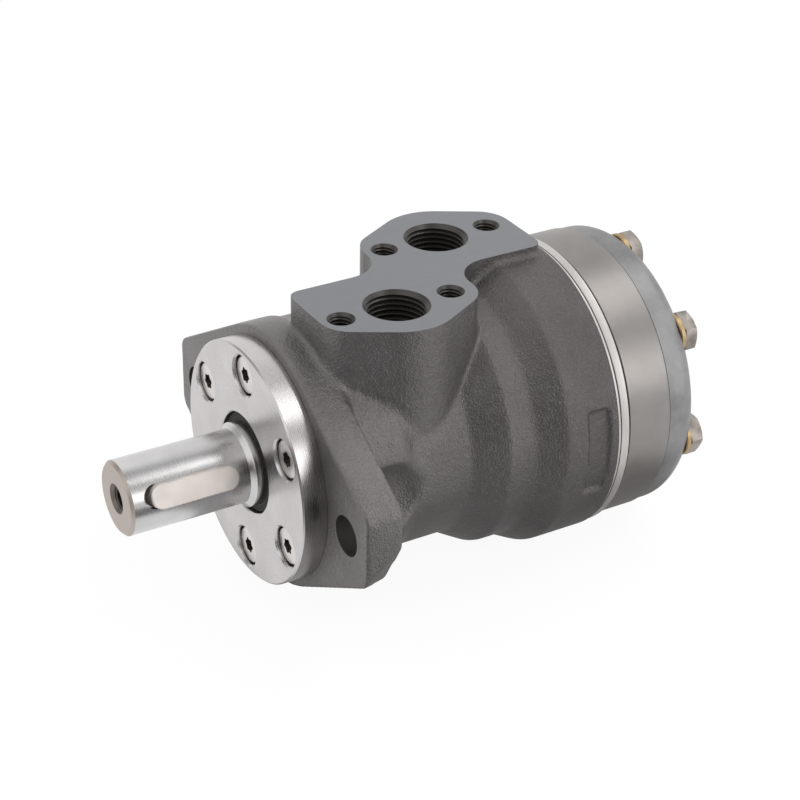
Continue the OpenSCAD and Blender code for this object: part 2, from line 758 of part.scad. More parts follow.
// A crowned spline head: straight teeth trimmed to a barrel
module spline_head(y) {
    crown = 26;
    difference() {
        profile(y - spline_half, y + spline_half) polygon(spline_points(0));
        difference() {
            drum(spline_r + 2, y - spline_half - eps, y + spline_half + eps);
            turned(concat(
                [[0, y - spline_half - 2 * eps]],
                [for (i = [-5 : 5]) let (t = i / 5 * (spline_half + 2 * eps))
                    [spline_r - 0.05 - crown + sqrt(crown * crown - t * t), y + t]],
                [[0, y + spline_half + 2 * eps]]
            ));
        }
    }
}

module drive_link() {
    neck = spline_r - spline_depth - 0.4;
    tail = spacer_front - rotor_y - 0.25;
    color(DARK_STEEL) translate([0, link_front_y, 0]) rotate([0, 90 - orbit_angle, 0])
        rotate([link_tilt, 0, 0]) rotate([0, orbit_angle - 90, 0]) {
        spline_head(0);
        spline_head(link_len);
        turned([
            [0, -spline_half - 1.7], [2.4, -spline_half - 1.7], [neck, -spline_half + 0.6], [neck, spline_half],
            [link_d / 2, spline_half + 3], [link_d / 2, link_len - spline_half - 3],
            [neck, link_len - spline_half], [neck, link_len + spline_half - 0.6],
            [2.4, link_len + tail], [0, link_len + tail]
        ]);
    }
}
spacer_front = ring_rear - face_gap - 0.1 - spacer_t;

module drive_spacer() {
    color(STEEL) translate([rotor_x, 0, rotor_z]) turned([
        [0, spacer_front], [spacer_r - 0.4, spacer_front], [spacer_r, spacer_front + 0.4],
        [spacer_r, spacer_front + spacer_t - 0.4], [spacer_r - 0.4, spacer_front + spacer_t],
        [0, spacer_front + spacer_t]
    ]);
}

// Distributor plate and gear set

module bolt_clearance(y0, y1) {
    around(bolt_count, bolt_start, bolt_circle_r) drum(bolt_d / 2 + 0.3, y0 - eps, y1 + eps);
}

module distributor_plate() {
    color(BRIGHT) difference() {
        hoop(plate_r, plate_bore_r, housing_len, ring_front);
        around(bolt_count, bolt_start, passage_r) drum(passage_d / 2, housing_len - eps, ring_front + eps);
        bolt_clearance(housing_len, ring_front);
    }
}

module gear_ring() {
    groove = ring_seal_t * 0.75;
    color(DARK_STEEL) difference() {
        hoop(ring_r, ring_bore_r, ring_front, ring_rear);
        around(bolt_count, roller_start, roller_circle_r) drum(roller_r + mesh_gap, ring_front - eps, ring_rear + eps);
        bolt_clearance(ring_front, ring_rear);
        hoop(ring_seal_r + 1.2, ring_seal_r - 1.2, ring_front - eps, ring_front + groove);
        hoop(ring_seal_r + 1.2, ring_seal_r - 1.2, ring_rear - groove, ring_rear + eps);
    }
}

module roller(i) {
    y0 = ring_front + face_gap;
    y1 = ring_rear - face_gap;
    color(STEEL) polar(roller_start + i * 360 / bolt_count, roller_circle_r) turned([
        [0, y0], [roller_r - 0.3, y0], [roller_r, y0 + 0.3],
        [roller_r, y1 - 0.3], [roller_r - 0.3, y1], [0, y1]
    ]);
}

module roller_1() { roller(0); }
module roller_2() { roller(1); }
module roller_3() { roller(2); }
module roller_4() { roller(3); }
module roller_5() { roller(4); }
module roller_6() { roller(5); }
module roller_7() { roller(6); }

// The path of a roller's centre, seen from the turning rotor, and the rotor's edge,
// which lies one roller radius and the clearance inside that path
function centre_path(t) =
    roller_circle_r * [cos(t), sin(t)] - orbit_e * [cos(bolt_count * t), sin(bolt_count * t)];
function path_heading(t) =
    roller_circle_r * [-sin(t), cos(t)] - orbit_e * bolt_count * [-sin(bolt_count * t), cos(bolt_count * t)];
function rotor_edge(t) =
    let (h = path_heading(t) / norm(path_heading(t)))
    centre_path(t) + (roller_r + mesh_gap) * [-h.y, h.x];

rotor_steps = lobe_count * 40;

module rotor() {
    y0 = ring_front + face_gap;
    y1 = ring_rear - face_gap;
    color(STEEL) translate([rotor_x, 0, rotor_z]) difference() {
        profile(y0, y1) polygon([for (i = [0 : rotor_steps - 1]) rotor_edge(i * 360 / rotor_steps)]);
        profile(y0 - eps, spacer_front) polygon(spline_points(spline_gap));
        drum(spacer_r + spacer_gap, spacer_front - 0.15, y1 + eps);
    }
}

// Large sealing rings, each in the groove of the piece in front of or behind the joint

module joint_seal(y) {
    color(RUBBER) sealing_ring(ring_seal_r, y, ring_seal_t, 0.74);
}

module housing_rear_seal() { joint_seal(housing_len - ring_seal_t * 0.375); }
module ring_front_seal() { joint_seal(ring_front + ring_seal_t * 0.375); }
module ring_rear_seal() { joint_seal(ring_rear - ring_seal_t * 0.375); }

// End cover, bolts and washers

module end_cover() {
    color(COVER_GREY) difference() {
        turned(concat(
            [[0, ring_rear], [end_cover_r, ring_rear]],
            quarter([end_cover_r - end_round_r, cover_rear - end_round_r], end_round_r, 0, 8),
            [[0, cover_rear]]
        ));
        bolt_clearance(ring_rear, cover_rear);
        around(bolt_count, bolt_start, bolt_circle_r) drum(bolt_seat_d / 2, bolt_seat_y, cover_rear + eps);
    }
}

module end_bolt() {
    seat = bolt_seat_y + washer_t;
    top = seat + bolt_head_h;
    corner = bolt_flats / 2 / cos(30);
    difference() {
        on_axis(seat) rotate([0, 0, 30]) cylinder(r = corner, h = bolt_head_h, $fn = 6);
        // Chamfer round the corners of the head
        difference() {
            drum(corner + 1, top - 1, top + eps);
            turned([
                [0, top - 1.5], [corner + 1, top - 1.5], [corner + 0.3, top - 1], [corner - 1.1, top - 0.1],
                [corner - 1.1, top + 1], [0, top + 1]
            ]);
        }
    }
    turned([
        [0, housing_len - bolt_grip], [bolt_d / 2 - 1, housing_len - bolt_grip],
        [bolt_d / 2, housing_len - bolt_grip + 1], [bolt_d / 2, seat], [0, seat]
    ]);
}

module end_cover_bolts() {
    color(BRASS) around(bolt_count, bolt_start, bolt_circle_r) end_bolt();
}

module bolt_washers() {
    color(BRASS) around(bolt_count, bolt_start, bolt_circle_r)
        hoop(washer_d / 2, bolt_d / 2 + 0.2, bolt_seat_y, bolt_seat_y + washer_t);
}

// Check valves

module check_ball(angle) {
    color(STEEL) polar(angle, check_r) translate([0, check_ball_y, 0]) sphere(d = check_ball_d);
}

module check_ball_left() { check_ball(check_angles[0]); }
module check_ball_right() { check_ball(check_angles[1]); }

module check_plugs() {
    color(DARK_STEEL) for (angle = check_angles) polar(angle, check_r) difference() {
        drum(check_bore_r - fit_gap / 2, plug_front_y, housing_len - 0.3);
        drum(1, plug_front_y - eps, housing_len + eps);
    }
}

// Drain plug with its sealing washer

module drain_plug() {
    color(STEEL) translate([0, drain_y, 0]) polar(drain_angle, 0) rotate([0, 90, 0]) difference() {
        union() {
            translate([0, 0, drain_seat - drain_thread_len])
                cylinder(d = drain_d, h = drain_thread_len + drain_washer_t + 0.1);
            translate([0, 0, drain_seat + drain_washer_t]) cylinder(d = drain_d + 2 * drain_rim, h = drain_head_h);
        }
        translate([0, 0, drain_seat + drain_washer_t + drain_head_h - drain_socket_depth])
            cylinder(d = drain_flats / cos(30), h = drain_socket_depth + eps, $fn = 6);
    }
}

module drain_washer() {
    color(BRASS) translate([0, drain_y, 0]) polar(drain_angle, 0) rotate([0, 90, 0]) difference() {
        translate([0, 0, drain_seat]) cylinder(d = drain_d + 2 * drain_rim, h = drain_washer_t);
        translate([0, 0, drain_seat - eps]) cylinder(d = drain_d + 0.3, h = drain_washer_t + 2 * eps);
    }
}

housing();
front_cover();
front_cover_screws();
front_cover_seal();
dust_seal();
shaft_seal();
shaft_seal_spring();
seal_support_ring();
thrust_race();
thrust_needle_cage();
output_shaft();
shaft_key();
drive_link();
drive_spacer();
housing_rear_seal();
distributor_plate();
ring_front_seal();
gear_ring();
roller_1();
roller_2();
roller_3();
roller_4();
roller_5();
roller_6();
roller_7();
rotor();
ring_rear_seal();
end_cover();
end_cover_bolts();
bolt_washers();
check_ball_left();
check_ball_right();
check_plugs();
drain_plug();
drain_washer();
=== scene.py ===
# %% [markdown]
# # An orbital hydraulic motor, dressed for a product photograph
#
# The CAD model gives every piece its true size and place. This lesson gives the pieces that show
# the surface they have on a real motor: the grain and soft corners of a sand casting, machined
# faces, turned and ground steel, threads, and plated bolts.
#
# Everything is in metres and in the CAD frame: the shaft lies along Y with its output end toward
# -Y, the ports look up along +Z, and the origin is the middle of the flange's front face.

# %% Load the frame
import math

import bmesh
import bpy
from mathutils import Matrix, Vector


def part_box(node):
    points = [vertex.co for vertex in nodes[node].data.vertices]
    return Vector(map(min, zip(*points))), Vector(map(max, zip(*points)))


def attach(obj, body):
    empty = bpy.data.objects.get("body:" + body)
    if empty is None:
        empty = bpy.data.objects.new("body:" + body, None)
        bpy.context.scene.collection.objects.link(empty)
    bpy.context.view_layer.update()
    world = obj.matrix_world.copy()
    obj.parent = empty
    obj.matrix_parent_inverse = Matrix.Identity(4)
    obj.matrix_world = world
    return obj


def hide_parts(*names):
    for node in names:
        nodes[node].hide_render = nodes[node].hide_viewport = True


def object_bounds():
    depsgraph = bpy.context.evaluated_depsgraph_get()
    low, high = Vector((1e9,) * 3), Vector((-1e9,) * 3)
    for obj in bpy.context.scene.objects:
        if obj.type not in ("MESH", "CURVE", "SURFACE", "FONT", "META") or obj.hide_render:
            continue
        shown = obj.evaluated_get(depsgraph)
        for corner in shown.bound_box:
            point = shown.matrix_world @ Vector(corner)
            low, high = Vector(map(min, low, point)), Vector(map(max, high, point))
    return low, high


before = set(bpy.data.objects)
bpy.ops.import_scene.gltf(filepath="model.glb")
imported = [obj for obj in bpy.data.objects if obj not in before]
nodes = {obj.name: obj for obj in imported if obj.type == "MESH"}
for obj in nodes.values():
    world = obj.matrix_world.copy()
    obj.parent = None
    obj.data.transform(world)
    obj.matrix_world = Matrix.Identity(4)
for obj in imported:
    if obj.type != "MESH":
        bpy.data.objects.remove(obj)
cad_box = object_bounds()
MM = 0.001
print("CAD box in mm:", [[round(c / MM, 1) for c in corner] for corner in cad_box])

# %% [markdown]
# ## The camera
#
# A product photo is taken with a long lens from above one shoulder of the object. The view was
# worked out from the photo by matching hole centres and edges, so the camera is set by its
# heading, its height, a small roll, its distance and its lens.

# %% Camera
VIEW_AZIMUTH = math.radians(59.128)
VIEW_ELEVATION = math.radians(30.110)
VIEW_ROLL = math.radians(1.204)
VIEW_DISTANCE = 0.697363
VIEW_TARGET = Vector((-0.005162, 0.053125, 0.003988))
LENS_MM = 92.395


def place_camera():
    back = Vector((
        math.sin(VIEW_AZIMUTH) * math.cos(VIEW_ELEVATION),
        -math.cos(VIEW_AZIMUTH) * math.cos(VIEW_ELEVATION),
        math.sin(VIEW_ELEVATION),
    ))
    level_right = Vector((math.cos(VIEW_AZIMUTH), math.sin(VIEW_AZIMUTH), 0))
    level_up = back.cross(level_right)
    right = level_right * math.cos(VIEW_ROLL) + level_up * math.sin(VIEW_ROLL)
    up = level_up * math.cos(VIEW_ROLL) - level_right * math.sin(VIEW_ROLL)
    camera = bpy.data.objects.new("camera", bpy.data.cameras.new("camera"))
    bpy.context.scene.collection.objects.link(camera)
    turn = Matrix((right, up, back)).transposed().to_4x4()
    camera.matrix_world = Matrix.Translation(VIEW_TARGET + back * VIEW_DISTANCE) @ turn
    camera.data.lens = LENS_MM
    camera.data.sensor_width = 36
    camera.data.clip_start = 0.01
    bpy.context.scene.camera = camera
    return camera


camera = place_camera()
print("camera at", [round(c, 3) for c in camera.matrix_world.translation])

# %% [markdown]
# ## The studio
#
# The photo has a white ground. The world is a soft grey-white light, and rays from the camera, or
# off metal and glass, meet plain white instead. The floor keeps a faint shadow under the motor.
# A cylinder mirrors the room as a row of stripes, so the stripes on the shaft and on the collar
# told where the studio's lamps and dark edges were: one lamp high behind the motor, one low at
# its right, a weaker one in front, and greyer strips between and below them. Lamps and boards are
# placed by heading and height.

# %% World, floor and lights
scene = bpy.context.scene
scene.view_settings.view_transform = "Standard"
FLOOR_Z = cad_box[0][2] - 0.2 * MM
WORLD_LEVEL = 0.67
FLOOR_GLOW = 1.055
FLOOR_GLOW_SHARE = 0.88


def add(tree, kind, links=None, **values):
    """Adds a node, sets its inputs by name and links others to it."""
    node = tree.nodes.new(kind)
    for key, value in values.items():
        if key in node.inputs:
            node.inputs[key].default_value = value
        else:
            setattr(node, key, value)
    for key, socket in (links or {}).items():
        tree.links.new(socket, node.inputs[key])
    return node


def seen_directly(tree):
    """1 for camera, glossy and transmission rays, 0 for the rest."""
    ray = add(tree, "ShaderNodeLightPath").outputs
    total = add(tree, "ShaderNodeMath", {0: ray["Is Camera Ray"], 1: ray["Is Glossy Ray"]}, operation="ADD")
    both = add(tree, "ShaderNodeMath", {0: total.outputs[0], 1: ray["Is Transmission Ray"]},
               operation="ADD", use_clamp=True)
    return both.outputs[0]


def flat_card(name, width, tall, material):
    """A plain rectangle in the scene, flat on XY."""
    bm = bmesh.new()
    bmesh.ops.create_grid(bm, x_segments=1, y_segments=1, size=0.5)
    bmesh.ops.scale(bm, verts=bm.verts, vec=(width, tall, 1))
    mesh = bpy.data.meshes.new(name)
    bm.to_mesh(mesh)
    bm.free()
    mesh.materials.append(material)
    card = bpy.data.objects.new(name, mesh)
    scene.collection.objects.link(card)
    return card


def make_world():
    world = bpy.data.worlds.new("studio")
    scene.world = world
    world.use_nodes = True
    tree = world.node_tree
    tree.nodes.clear()
    soft = add(tree, "ShaderNodeBackground", Color=(0.97, 0.98, 1.0, 1), Strength=WORLD_LEVEL)
    white = add(tree, "ShaderNodeBackground", Color=(1, 1, 1, 1), Strength=1.0)
    links = {0: seen_directly(tree), 1: soft.outputs[0], 2: white.outputs[0]}
    mix = add(tree, "ShaderNodeMixShader", links)
    add(tree, "ShaderNodeOutputWorld", {0: mix.outputs[0]})


def make_floor():
    material = bpy.data.materials.new("floor")
    material.use_nodes = True
    tree = material.node_tree
    tree.nodes.clear()
    pale = add(tree, "ShaderNodeBsdfDiffuse", Color=(0.86, 0.86, 0.86, 1))
    glow = add(tree, "ShaderNodeEmission", Strength=FLOOR_GLOW)
    share = add(tree, "ShaderNodeMath", {0: seen_directly(tree)}, operation="MULTIPLY")
    share.inputs[1].default_value = FLOOR_GLOW_SHARE
    mix = add(tree, "ShaderNodeMixShader", {0: share.outputs[0], 1: pale.outputs[0], 2: glow.outputs[0]})
    add(tree, "ShaderNodeOutputMaterial", {0: mix.outputs[0]})
    floor = flat_card("floor", 6, 6, material)
    floor.location.z = FLOOR_Z


CENTRE = Vector((0, 0.05, 0))


def toward(heading, height, distance):
    """A place seen from the motor's middle, heading from +X toward +Y, angles in degrees."""
    a, e = math.radians(heading), math.radians(height)
    return CENTRE + distance * Vector((math.cos(e) * math.cos(a), math.cos(e) * math.sin(a), math.sin(e)))


def soft_box(name, place, size, power):
    light = bpy.data.lights.new(name, "AREA")
    light.shape = "RECTANGLE"
    light.size, light.size_y = size
    light.energy = power
    lamp = bpy.data.objects.new(name, light)
    lamp.location = place
    lamp.rotation_euler = (CENTRE - place).to_track_quat("-Z", "Y").to_euler()
    scene.collection.objects.link(lamp)


make_world()
make_floor()
soft_box("high_lamp", toward(72, 60, 1.3), (0.95, 0.29), 2.3)
soft_box("right_lamp", toward(29, 19, 1.3), (0.7, 0.60), 2.35)
soft_box("front_lamp", toward(-66, 34, 1.4), (0.9, 0.9), 1.2)

# %% Boards for the metal to reflect
# Each board's heading and height in degrees, its two sides in metres, and its grey level.
BOARD_DISTANCE = 1.2
BOARDS = {
    "behind_camera": (-32, 12, 1.9, 1.2, 0.03),
    "above": (128, 58, 0.5, 0.5, 0.85),
    "ceiling": (70, 81, 1.2, 0.42, 0.30),
    "right_of_lamp": (8, 58, 0.6, 0.5, 0.30),
    "between_lamps": (48, 42, 1.2, 0.27, 0.62),
    "table_edge": (26, 1, 0.6, 0.09, 0.03),
    "left": (221, 29, 0.8, 0.7, 0.45),
}


def reflected_board(name, level, width, tall):
    """A card of one grey level that only reflections see."""
    material = bpy.data.materials.new("board_" + name)
    material.use_nodes = True
    shader = material.node_tree.nodes["Principled BSDF"]
    shader.inputs["Base Color"].default_value = (0, 0, 0, 1)
    shader.inputs["Specular IOR Level"].default_value = 0.0
    shader.inputs["Emission Color"].default_value = (level, level, level, 1)
    shader.inputs["Emission Strength"].default_value = 1.0
    board = flat_card(material.name, width, tall, material)
    board.visible_camera = False
    board.visible_diffuse = False
    board.visible_shadow = False
    return board


for name, (heading, height, width, tall, level) in BOARDS.items():
    board = reflected_board(name, level, width, tall)
    board.location = toward(heading, height, BOARD_DISTANCE)
    board.rotation_euler = (CENTRE - board.location).to_track_quat("Z", "Y").to_euler()
# Two more lie flat: the shade under the motor, and the darker table in front of it.
own_shade = reflected_board("own_shade", 0.35, 0.15, 0.17)
own_shade.location = (0.01, 0.07, FLOOR_Z + 0.5 * MM)
table_front = reflected_board("table_front", 0.20, 0.95, 0.92)
table_front.location = (0.55, -0.42, FLOOR_Z + 0.3 * MM)
print("boards:", len(BOARDS) + 2)

# %% [markdown]
# ## Finishes
#
# Each finish is a Principled shader with noise on the object's own coordinates, so it holds still
# when the motor turns. Turned and ground metal has fine lines where the tool or the wheel went
# round: a one-dimensional noise read from the distance to the axis, plus the distance along it,
# draws rings on a flat face and hoops on a round side with the same few nodes.

# %% Helpers for finishes
def new_finish(name, color, metallic, roughness):
    material = bpy.data.materials.new(name)
    material.use_nodes = True
    shader = material.node_tree.nodes["Principled BSDF"]
    shader.inputs["Base Color"].default_value = (*color, 1)
    shader.inputs["Metallic"].default_value = metallic
    shader.inputs["Roughness"].default_value = roughness
    return material, material.node_tree, shader


def object_coords(tree):
    return add(tree, "ShaderNodeTexCoord").outputs["Object"]


def noise(tree, vector, scale, detail=3.0, roughness=0.5):
    node = add(tree, "ShaderNodeTexNoise", {"Vector": vector}, Scale=scale, Detail=detail,
               Roughness=roughness)
    return node.outputs["Fac"]


def spread(tree, value, low, high, to_low, to_high):
    """Stretches a value from one range to another."""
    node = add(tree, "ShaderNodeMapRange", {"Value": value})
    for key, number in zip(("From Min", "From Max", "To Min", "To Max"), (low, high, to_low, to_high)):
        node.inputs[key].default_value = number
    return node.outputs["Result"]


def tint(tree, factor, first, second):
    """Mixes two colours, each given as three numbers or as the output of another node."""
    mix = add(tree, "ShaderNodeMix", {"Factor": factor}, data_type="RGBA")
    for place, color in ((6, first), (7, second)):
        if isinstance(color, tuple):
            mix.inputs[place].default_value = (*color, 1)
        else:
            tree.links.new(color, mix.inputs[place])
    return mix.outputs[2]


def bump(tree, shader, height, depth, strength=1.0, under=None):
    links = {"Height": height}
    if under:
        links["Normal"] = under
    node = add(tree, "ShaderNodeBump", links, Strength=strength, Distance=depth)
    tree.links.new(node.outputs["Normal"], shader.inputs["Normal"])
    return node.outputs["Normal"]


def tool_lines(tree, pitch):
    """Fine hoops about the shaft axis, as a value from 0 to 1."""
    parts = add(tree, "ShaderNodeSeparateXYZ", {"Vector": object_coords(tree)})
    flat = add(tree, "ShaderNodeCombineXYZ", {"X": parts.outputs["X"], "Y": parts.outputs["Z"]})
    reach = add(tree, "ShaderNodeVectorMath", {0: flat.outputs[0]}, operation="LENGTH")
    along = add(tree, "ShaderNodeMath", {0: reach.outputs["Value"], 1: parts.outputs["Y"]}, operation="ADD")
    lines = add(tree, "ShaderNodeTexNoise", {"W": along.outputs[0]}, noise_dimensions="1D", Scale=1 / pitch,
                Detail=2.0)
    return lines.outputs["Fac"]


# %% Cast skin and machined iron
def cast_skin():
    """Sand-cast iron under a satin oily coat, with the mould's grain, and painted shade that darkens it
    toward the rear.
    """
    material, tree, shader = new_finish("cast_skin", (0.150, 0.140, 0.137), 0.6, 0.37)
    where = object_coords(tree)
    patches = noise(tree, where, 45, 4, 0.6)
    grain = noise(tree, where, 1500, 2, 0.6)
    cloudy = spread(tree, patches, 0.3, 0.7, 0.0, 1.0)
    front = tint(tree, cloudy, (0.160, 0.150, 0.147), (0.215, 0.203, 0.200))
    rear = tint(tree, cloudy, (0.092, 0.085, 0.082), (0.122, 0.114, 0.110))
    # Painted shade: the colour goes from the lighter front colour to the darker rear one along the shaft.
    along = add(tree, "ShaderNodeSeparateXYZ", {"Vector": where}).outputs["Y"]
    rear_painted_shade = tint(tree, spread(tree, along, 0.02, 0.10, 0.0, 1.0), front, rear)
    speckled = tint(tree, spread(tree, grain, 0.56, 0.80, 0.0, 0.35), rear_painted_shade, (0.36, 0.34, 0.33))
    tree.links.new(speckled, shader.inputs["Base Color"])
    tree.links.new(spread(tree, grain, 0.3, 0.7, 0.30, 0.43), shader.inputs["Roughness"])
    coarse = noise(tree, where, 380, 3, 0.6)
    low = bump(tree, shader, coarse, 0.35 * MM, 1.0)
    bump(tree, shader, grain, 0.36 * MM, 1.0, under=low)
    return material


def milled_iron():
    """Iron under a face mill: long faint marks along the shaft."""
    material, tree, shader = new_finish("milled_iron", (0.225, 0.227, 0.243), 0.0, 0.42)
    where = object_coords(tree)
    stretched = add(tree, "ShaderNodeMapping", {"Vector": where}, Scale=(1, 0.08, 1))
    marks = noise(tree, stretched.outputs[0], 900, 3, 0.6)
    tree.links.new(spread(tree, marks, 0.3, 0.7, 0.36, 0.46), shader.inputs["Roughness"])
    bump(tree, shader, marks, 0.01 * MM, 0.4)
    return material


def bored_iron():
    """Bored iron, painted darker than the cast skin: painted shade for the inside of a hole."""
    material, tree, shader = new_finish("bored_iron", (0.075, 0.07, 0.065), 0.7, 0.35)
    bump(tree, shader, noise(tree, object_coords(tree), 1200, 2), 0.01 * MM, 0.5)
    return material


CAST = cast_skin()
MILLED = milled_iron()
BORED = bored_iron()

# %% Steel finishes
def lined_steel(name, color, roughness, pitch, depth, rough_spread=0.08):
    """Steel with hoops that are a pitch apart and a depth deep, over faint darker smears."""
    material, tree, shader = new_finish(name, color, 1.0, roughness)
    lines = tool_lines(tree, pitch)
    rough = spread(tree, lines, 0.25, 0.75, roughness - rough_spread, roughness + rough_spread)
    tree.links.new(rough, shader.inputs["Roughness"])
    smear = spread(tree, noise(tree, object_coords(tree), 60, 3, 0.6), 0.3, 0.7, 0, 1)
    dark = tuple(c * 0.86 for c in color)
    tree.links.new(tint(tree, smear, dark, color), shader.inputs["Base Color"])
    bump(tree, shader, lines, depth, 0.7)
    return material


TURNED = lined_steel("turned_steel", (0.62, 0.60, 0.59), 0.28, 0.30 * MM, 0.003 * MM)
GROUND = lined_steel("ground_steel", (0.66, 0.65, 0.65), 0.26, 0.18 * MM, 0.0006 * MM, 0.04)
PLATE = lined_steel("plate_steel", (0.68, 0.65, 0.63), 0.50, 0.25 * MM, 0.008 * MM, 0.12)
RING = lined_steel("ring_steel", (0.315, 0.296, 0.283), 0.40, 0.20 * MM, 0.004 * MM, 0.12)


def end_cover_steel():
    """The end cover's dull skin, mottled in soft clouds."""
    material, tree, shader = new_finish("end_cover_steel", (0.31, 0.305, 0.305), 0.9, 0.50)
    where = object_coords(tree)
    clouds = noise(tree, where, 70, 5, 0.65)
    mottled = spread(tree, clouds, 0.35, 0.65, 0, 1)
    shade = tint(tree, mottled, (0.24, 0.236, 0.237), (0.37, 0.364, 0.366))
    tree.links.new(shade, shader.inputs["Base Color"])
    tree.links.new(spread(tree, clouds, 0.3, 0.7, 0.42, 0.58), shader.inputs["Roughness"])
    bump(tree, shader, noise(tree, where, 900, 2), 0.01 * MM, 0.5)
    return material


def plated(name, color, light, roughness, metallic=1.0):
    """A finish that clouds from one colour to a lighter one."""
    material, tree, shader = new_finish(name, color, metallic, roughness)
    where = object_coords(tree)
    clouds = noise(tree, where, 160, 4, 0.6)
    shade = tint(tree, spread(tree, clouds, 0.3, 0.7, 0, 1), color, light)
    tree.links.new(shade, shader.inputs["Base Color"])
    rough = spread(tree, clouds, 0.3, 0.7, roughness - 0.07, roughness + 0.1)
    tree.links.new(rough, shader.inputs["Roughness"])
    bump(tree, shader, noise(tree, where, 1500, 2), 0.006 * MM, 0.5)
    return material


COVER_STEEL = end_cover_steel()
KEY_STEEL = plated("key_steel", (0.72, 0.665, 0.625), (0.86, 0.80, 0.76), 0.44)
# Painted reflection: a warm tint for the shaft's end face and its chamfer.
END_FACE_WARM_REFLECTION = plated("end_face_warm_reflection", (0.44, 0.39, 0.35), (0.54, 0.48, 0.44), 0.42)
SCREW_STEEL = plated("screw_steel", (0.64, 0.61, 0.59), (0.78, 0.74, 0.72), 0.34)
# Painted shade with a warm painted reflection, for the screw sockets, the shaft's centre hole and the plug's
# socket.
PAINTED_HOLE_SHADE = plated("painted_hole_shade_steel", (0.16, 0.135, 0.12), (0.26, 0.22, 0.20), 0.5)
# Near-black: painted shade inside the ear holes, and the dark lines at the discs' seams.
DARK_SEAM_AND_HOLE_SHADE = plated("seam_line_and_hole_shade", (0.03, 0.027, 0.025), (0.06, 0.054, 0.05), 0.6, metallic=0.0)
BOLT_ZINC = plated("yellow_zinc", (0.20, 0.178, 0.16), (0.44, 0.40, 0.37), 0.38)
WASHER = plated("washer_copper", (0.40, 0.28, 0.14), (0.56, 0.42, 0.24), 0.42)
BRASS = plated("cage_brass", (0.60, 0.46, 0.20), (0.70, 0.55, 0.26), 0.35)


def seal_rubber():
    """Black rubber with a dull sheen."""
    material, tree, shader = new_finish("seal_rubber", (0.025, 0.024, 0.023), 0.0, 0.6)
    shader.inputs["Specular IOR Level"].default_value = 0.35
    bump(tree, shader, noise(tree, object_coords(tree), 1500, 2), 0.01 * MM, 0.4)
    return material


RUBBER = seal_rubber()
print("finishes:", len(bpy.data.materials))

# %% [markdown]
# ## Helpers for making pieces
#
# Most of a motor is turned on a lathe, so most pieces begin as a profile that is spun about the
# shaft axis. Holes are then drilled with a second spun shape whose mouth is already chamfered,
# just as a countersink leaves it. No machined edge is a perfect line: it has a tiny chamfer that
# catches a thread of light, and a bevel gives each sharp corner one.

# %% Hand a piece to the frame
def finish_piece(bm, name, body, materials, stands_for=(), smooth_angle=32):
    """Makes an object of a bmesh, on a body, in place of the CAD nodes it stands for."""
    mesh = bpy.data.meshes.new(name)
    bm.to_mesh(mesh)
    bm.free()
    mesh.shade_smooth()
    mesh.set_sharp_from_angle(angle=math.radians(smooth_angle))
    for material in materials:
        mesh.materials.append(material)
    piece = bpy.data.objects.new(name, mesh)
    scene.collection.objects.link(piece)
    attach(piece, body)
    if stands_for:
        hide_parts(*stands_for)
    slots = sorted({polygon.material_index for polygon in mesh.polygons})
    print(f"{name}: {len(mesh.polygons)} faces, material slots {slots}")
    return piece


# %% Spin and copy
SEGMENTS = 192


def spun(points, steps=SEGMENTS, angle=360.0, shift=0.0):
    """Spins [radius, y] points, in mm, about the shaft axis. A shift moves each step along it."""
    bm = bmesh.new()
    verts = [bm.verts.new((r * MM, y * MM, 0)) for r, y in points]
    edges = [bm.edges.new(pair) for pair in zip(verts, verts[1:])]
    if points[0][0] > 0 or points[-1][0] > 0:
        edges.append(bm.edges.new((verts[-1], verts[0])))
    whole = angle == 360.0 and shift == 0.0
    start = verts + edges if whole else verts + edges + [bm.faces.new(verts)]
    bmesh.ops.spin(bm, geom=start, cent=(0, 0, 0), axis=(0, 1, 0), dvec=(0, shift * MM, 0),
                   angle=math.radians(angle), steps=steps, use_merge=whole, use_duplicate=False)
    bmesh.ops.remove_doubles(bm, verts=bm.verts, dist=1e-7)
    bmesh.ops.recalc_face_normals(bm, faces=bm.faces)
    return bm


def rod(radius, y0, y1, steps):
    """A plain cylinder along the shaft axis."""
    return spun([(0, y0), (radius, y0), (radius, y1), (0, y1)], steps=steps)


def add_copy(bm, other, matrix=None):
    """Adds another bmesh to this one, moved by a matrix, and frees the other."""
    mesh = bpy.data.meshes.new("copy")
    other.to_mesh(mesh)
    other.free()
    if matrix:
        mesh.transform(matrix)
    bm.from_mesh(mesh)
    bpy.data.meshes.remove(mesh)


def copies(make, places):
    """One bmesh with what make() gives at each place."""
    bm = bmesh.new()
    for place in places:
        add_copy(bm, make(), place)
    return bm


# %% Modifiers and cuts
def temporary(bm, name):
    """An object that lives only while a modifier runs on it."""
    bmesh.ops.recalc_face_normals(bm, faces=bm.faces)
    mesh = bpy.data.meshes.new(name)
    bm.to_mesh(mesh)
    bm.free()
    item = bpy.data.objects.new(name, mesh)
    scene.collection.objects.link(item)
    return item


def modified(bm, kind, tool=None, **settings):
    """Runs one modifier on a bmesh and gives back what it makes."""
    items = [temporary(bm, "part")]
    step = items[0].modifiers.new("step", kind)
    for key, value in settings.items():
        setattr(step, key, value)
    if tool:
        items.append(temporary(tool, "tool"))
        step.object = items[1]
    bpy.context.view_layer.update()
    result = items[0].evaluated_get(bpy.context.evaluated_depsgraph_get())
    made = bmesh.new()
    made.from_mesh(result.to_mesh())
    result.to_mesh_clear()
    for item in items:
        data = item.data
        bpy.data.objects.remove(item)
        bpy.data.meshes.remove(data)
    return made


def cut(bm, tool, operation="DIFFERENCE"):
    return modified(bm, "BOOLEAN", tool=tool, solver="EXACT", operation=operation)


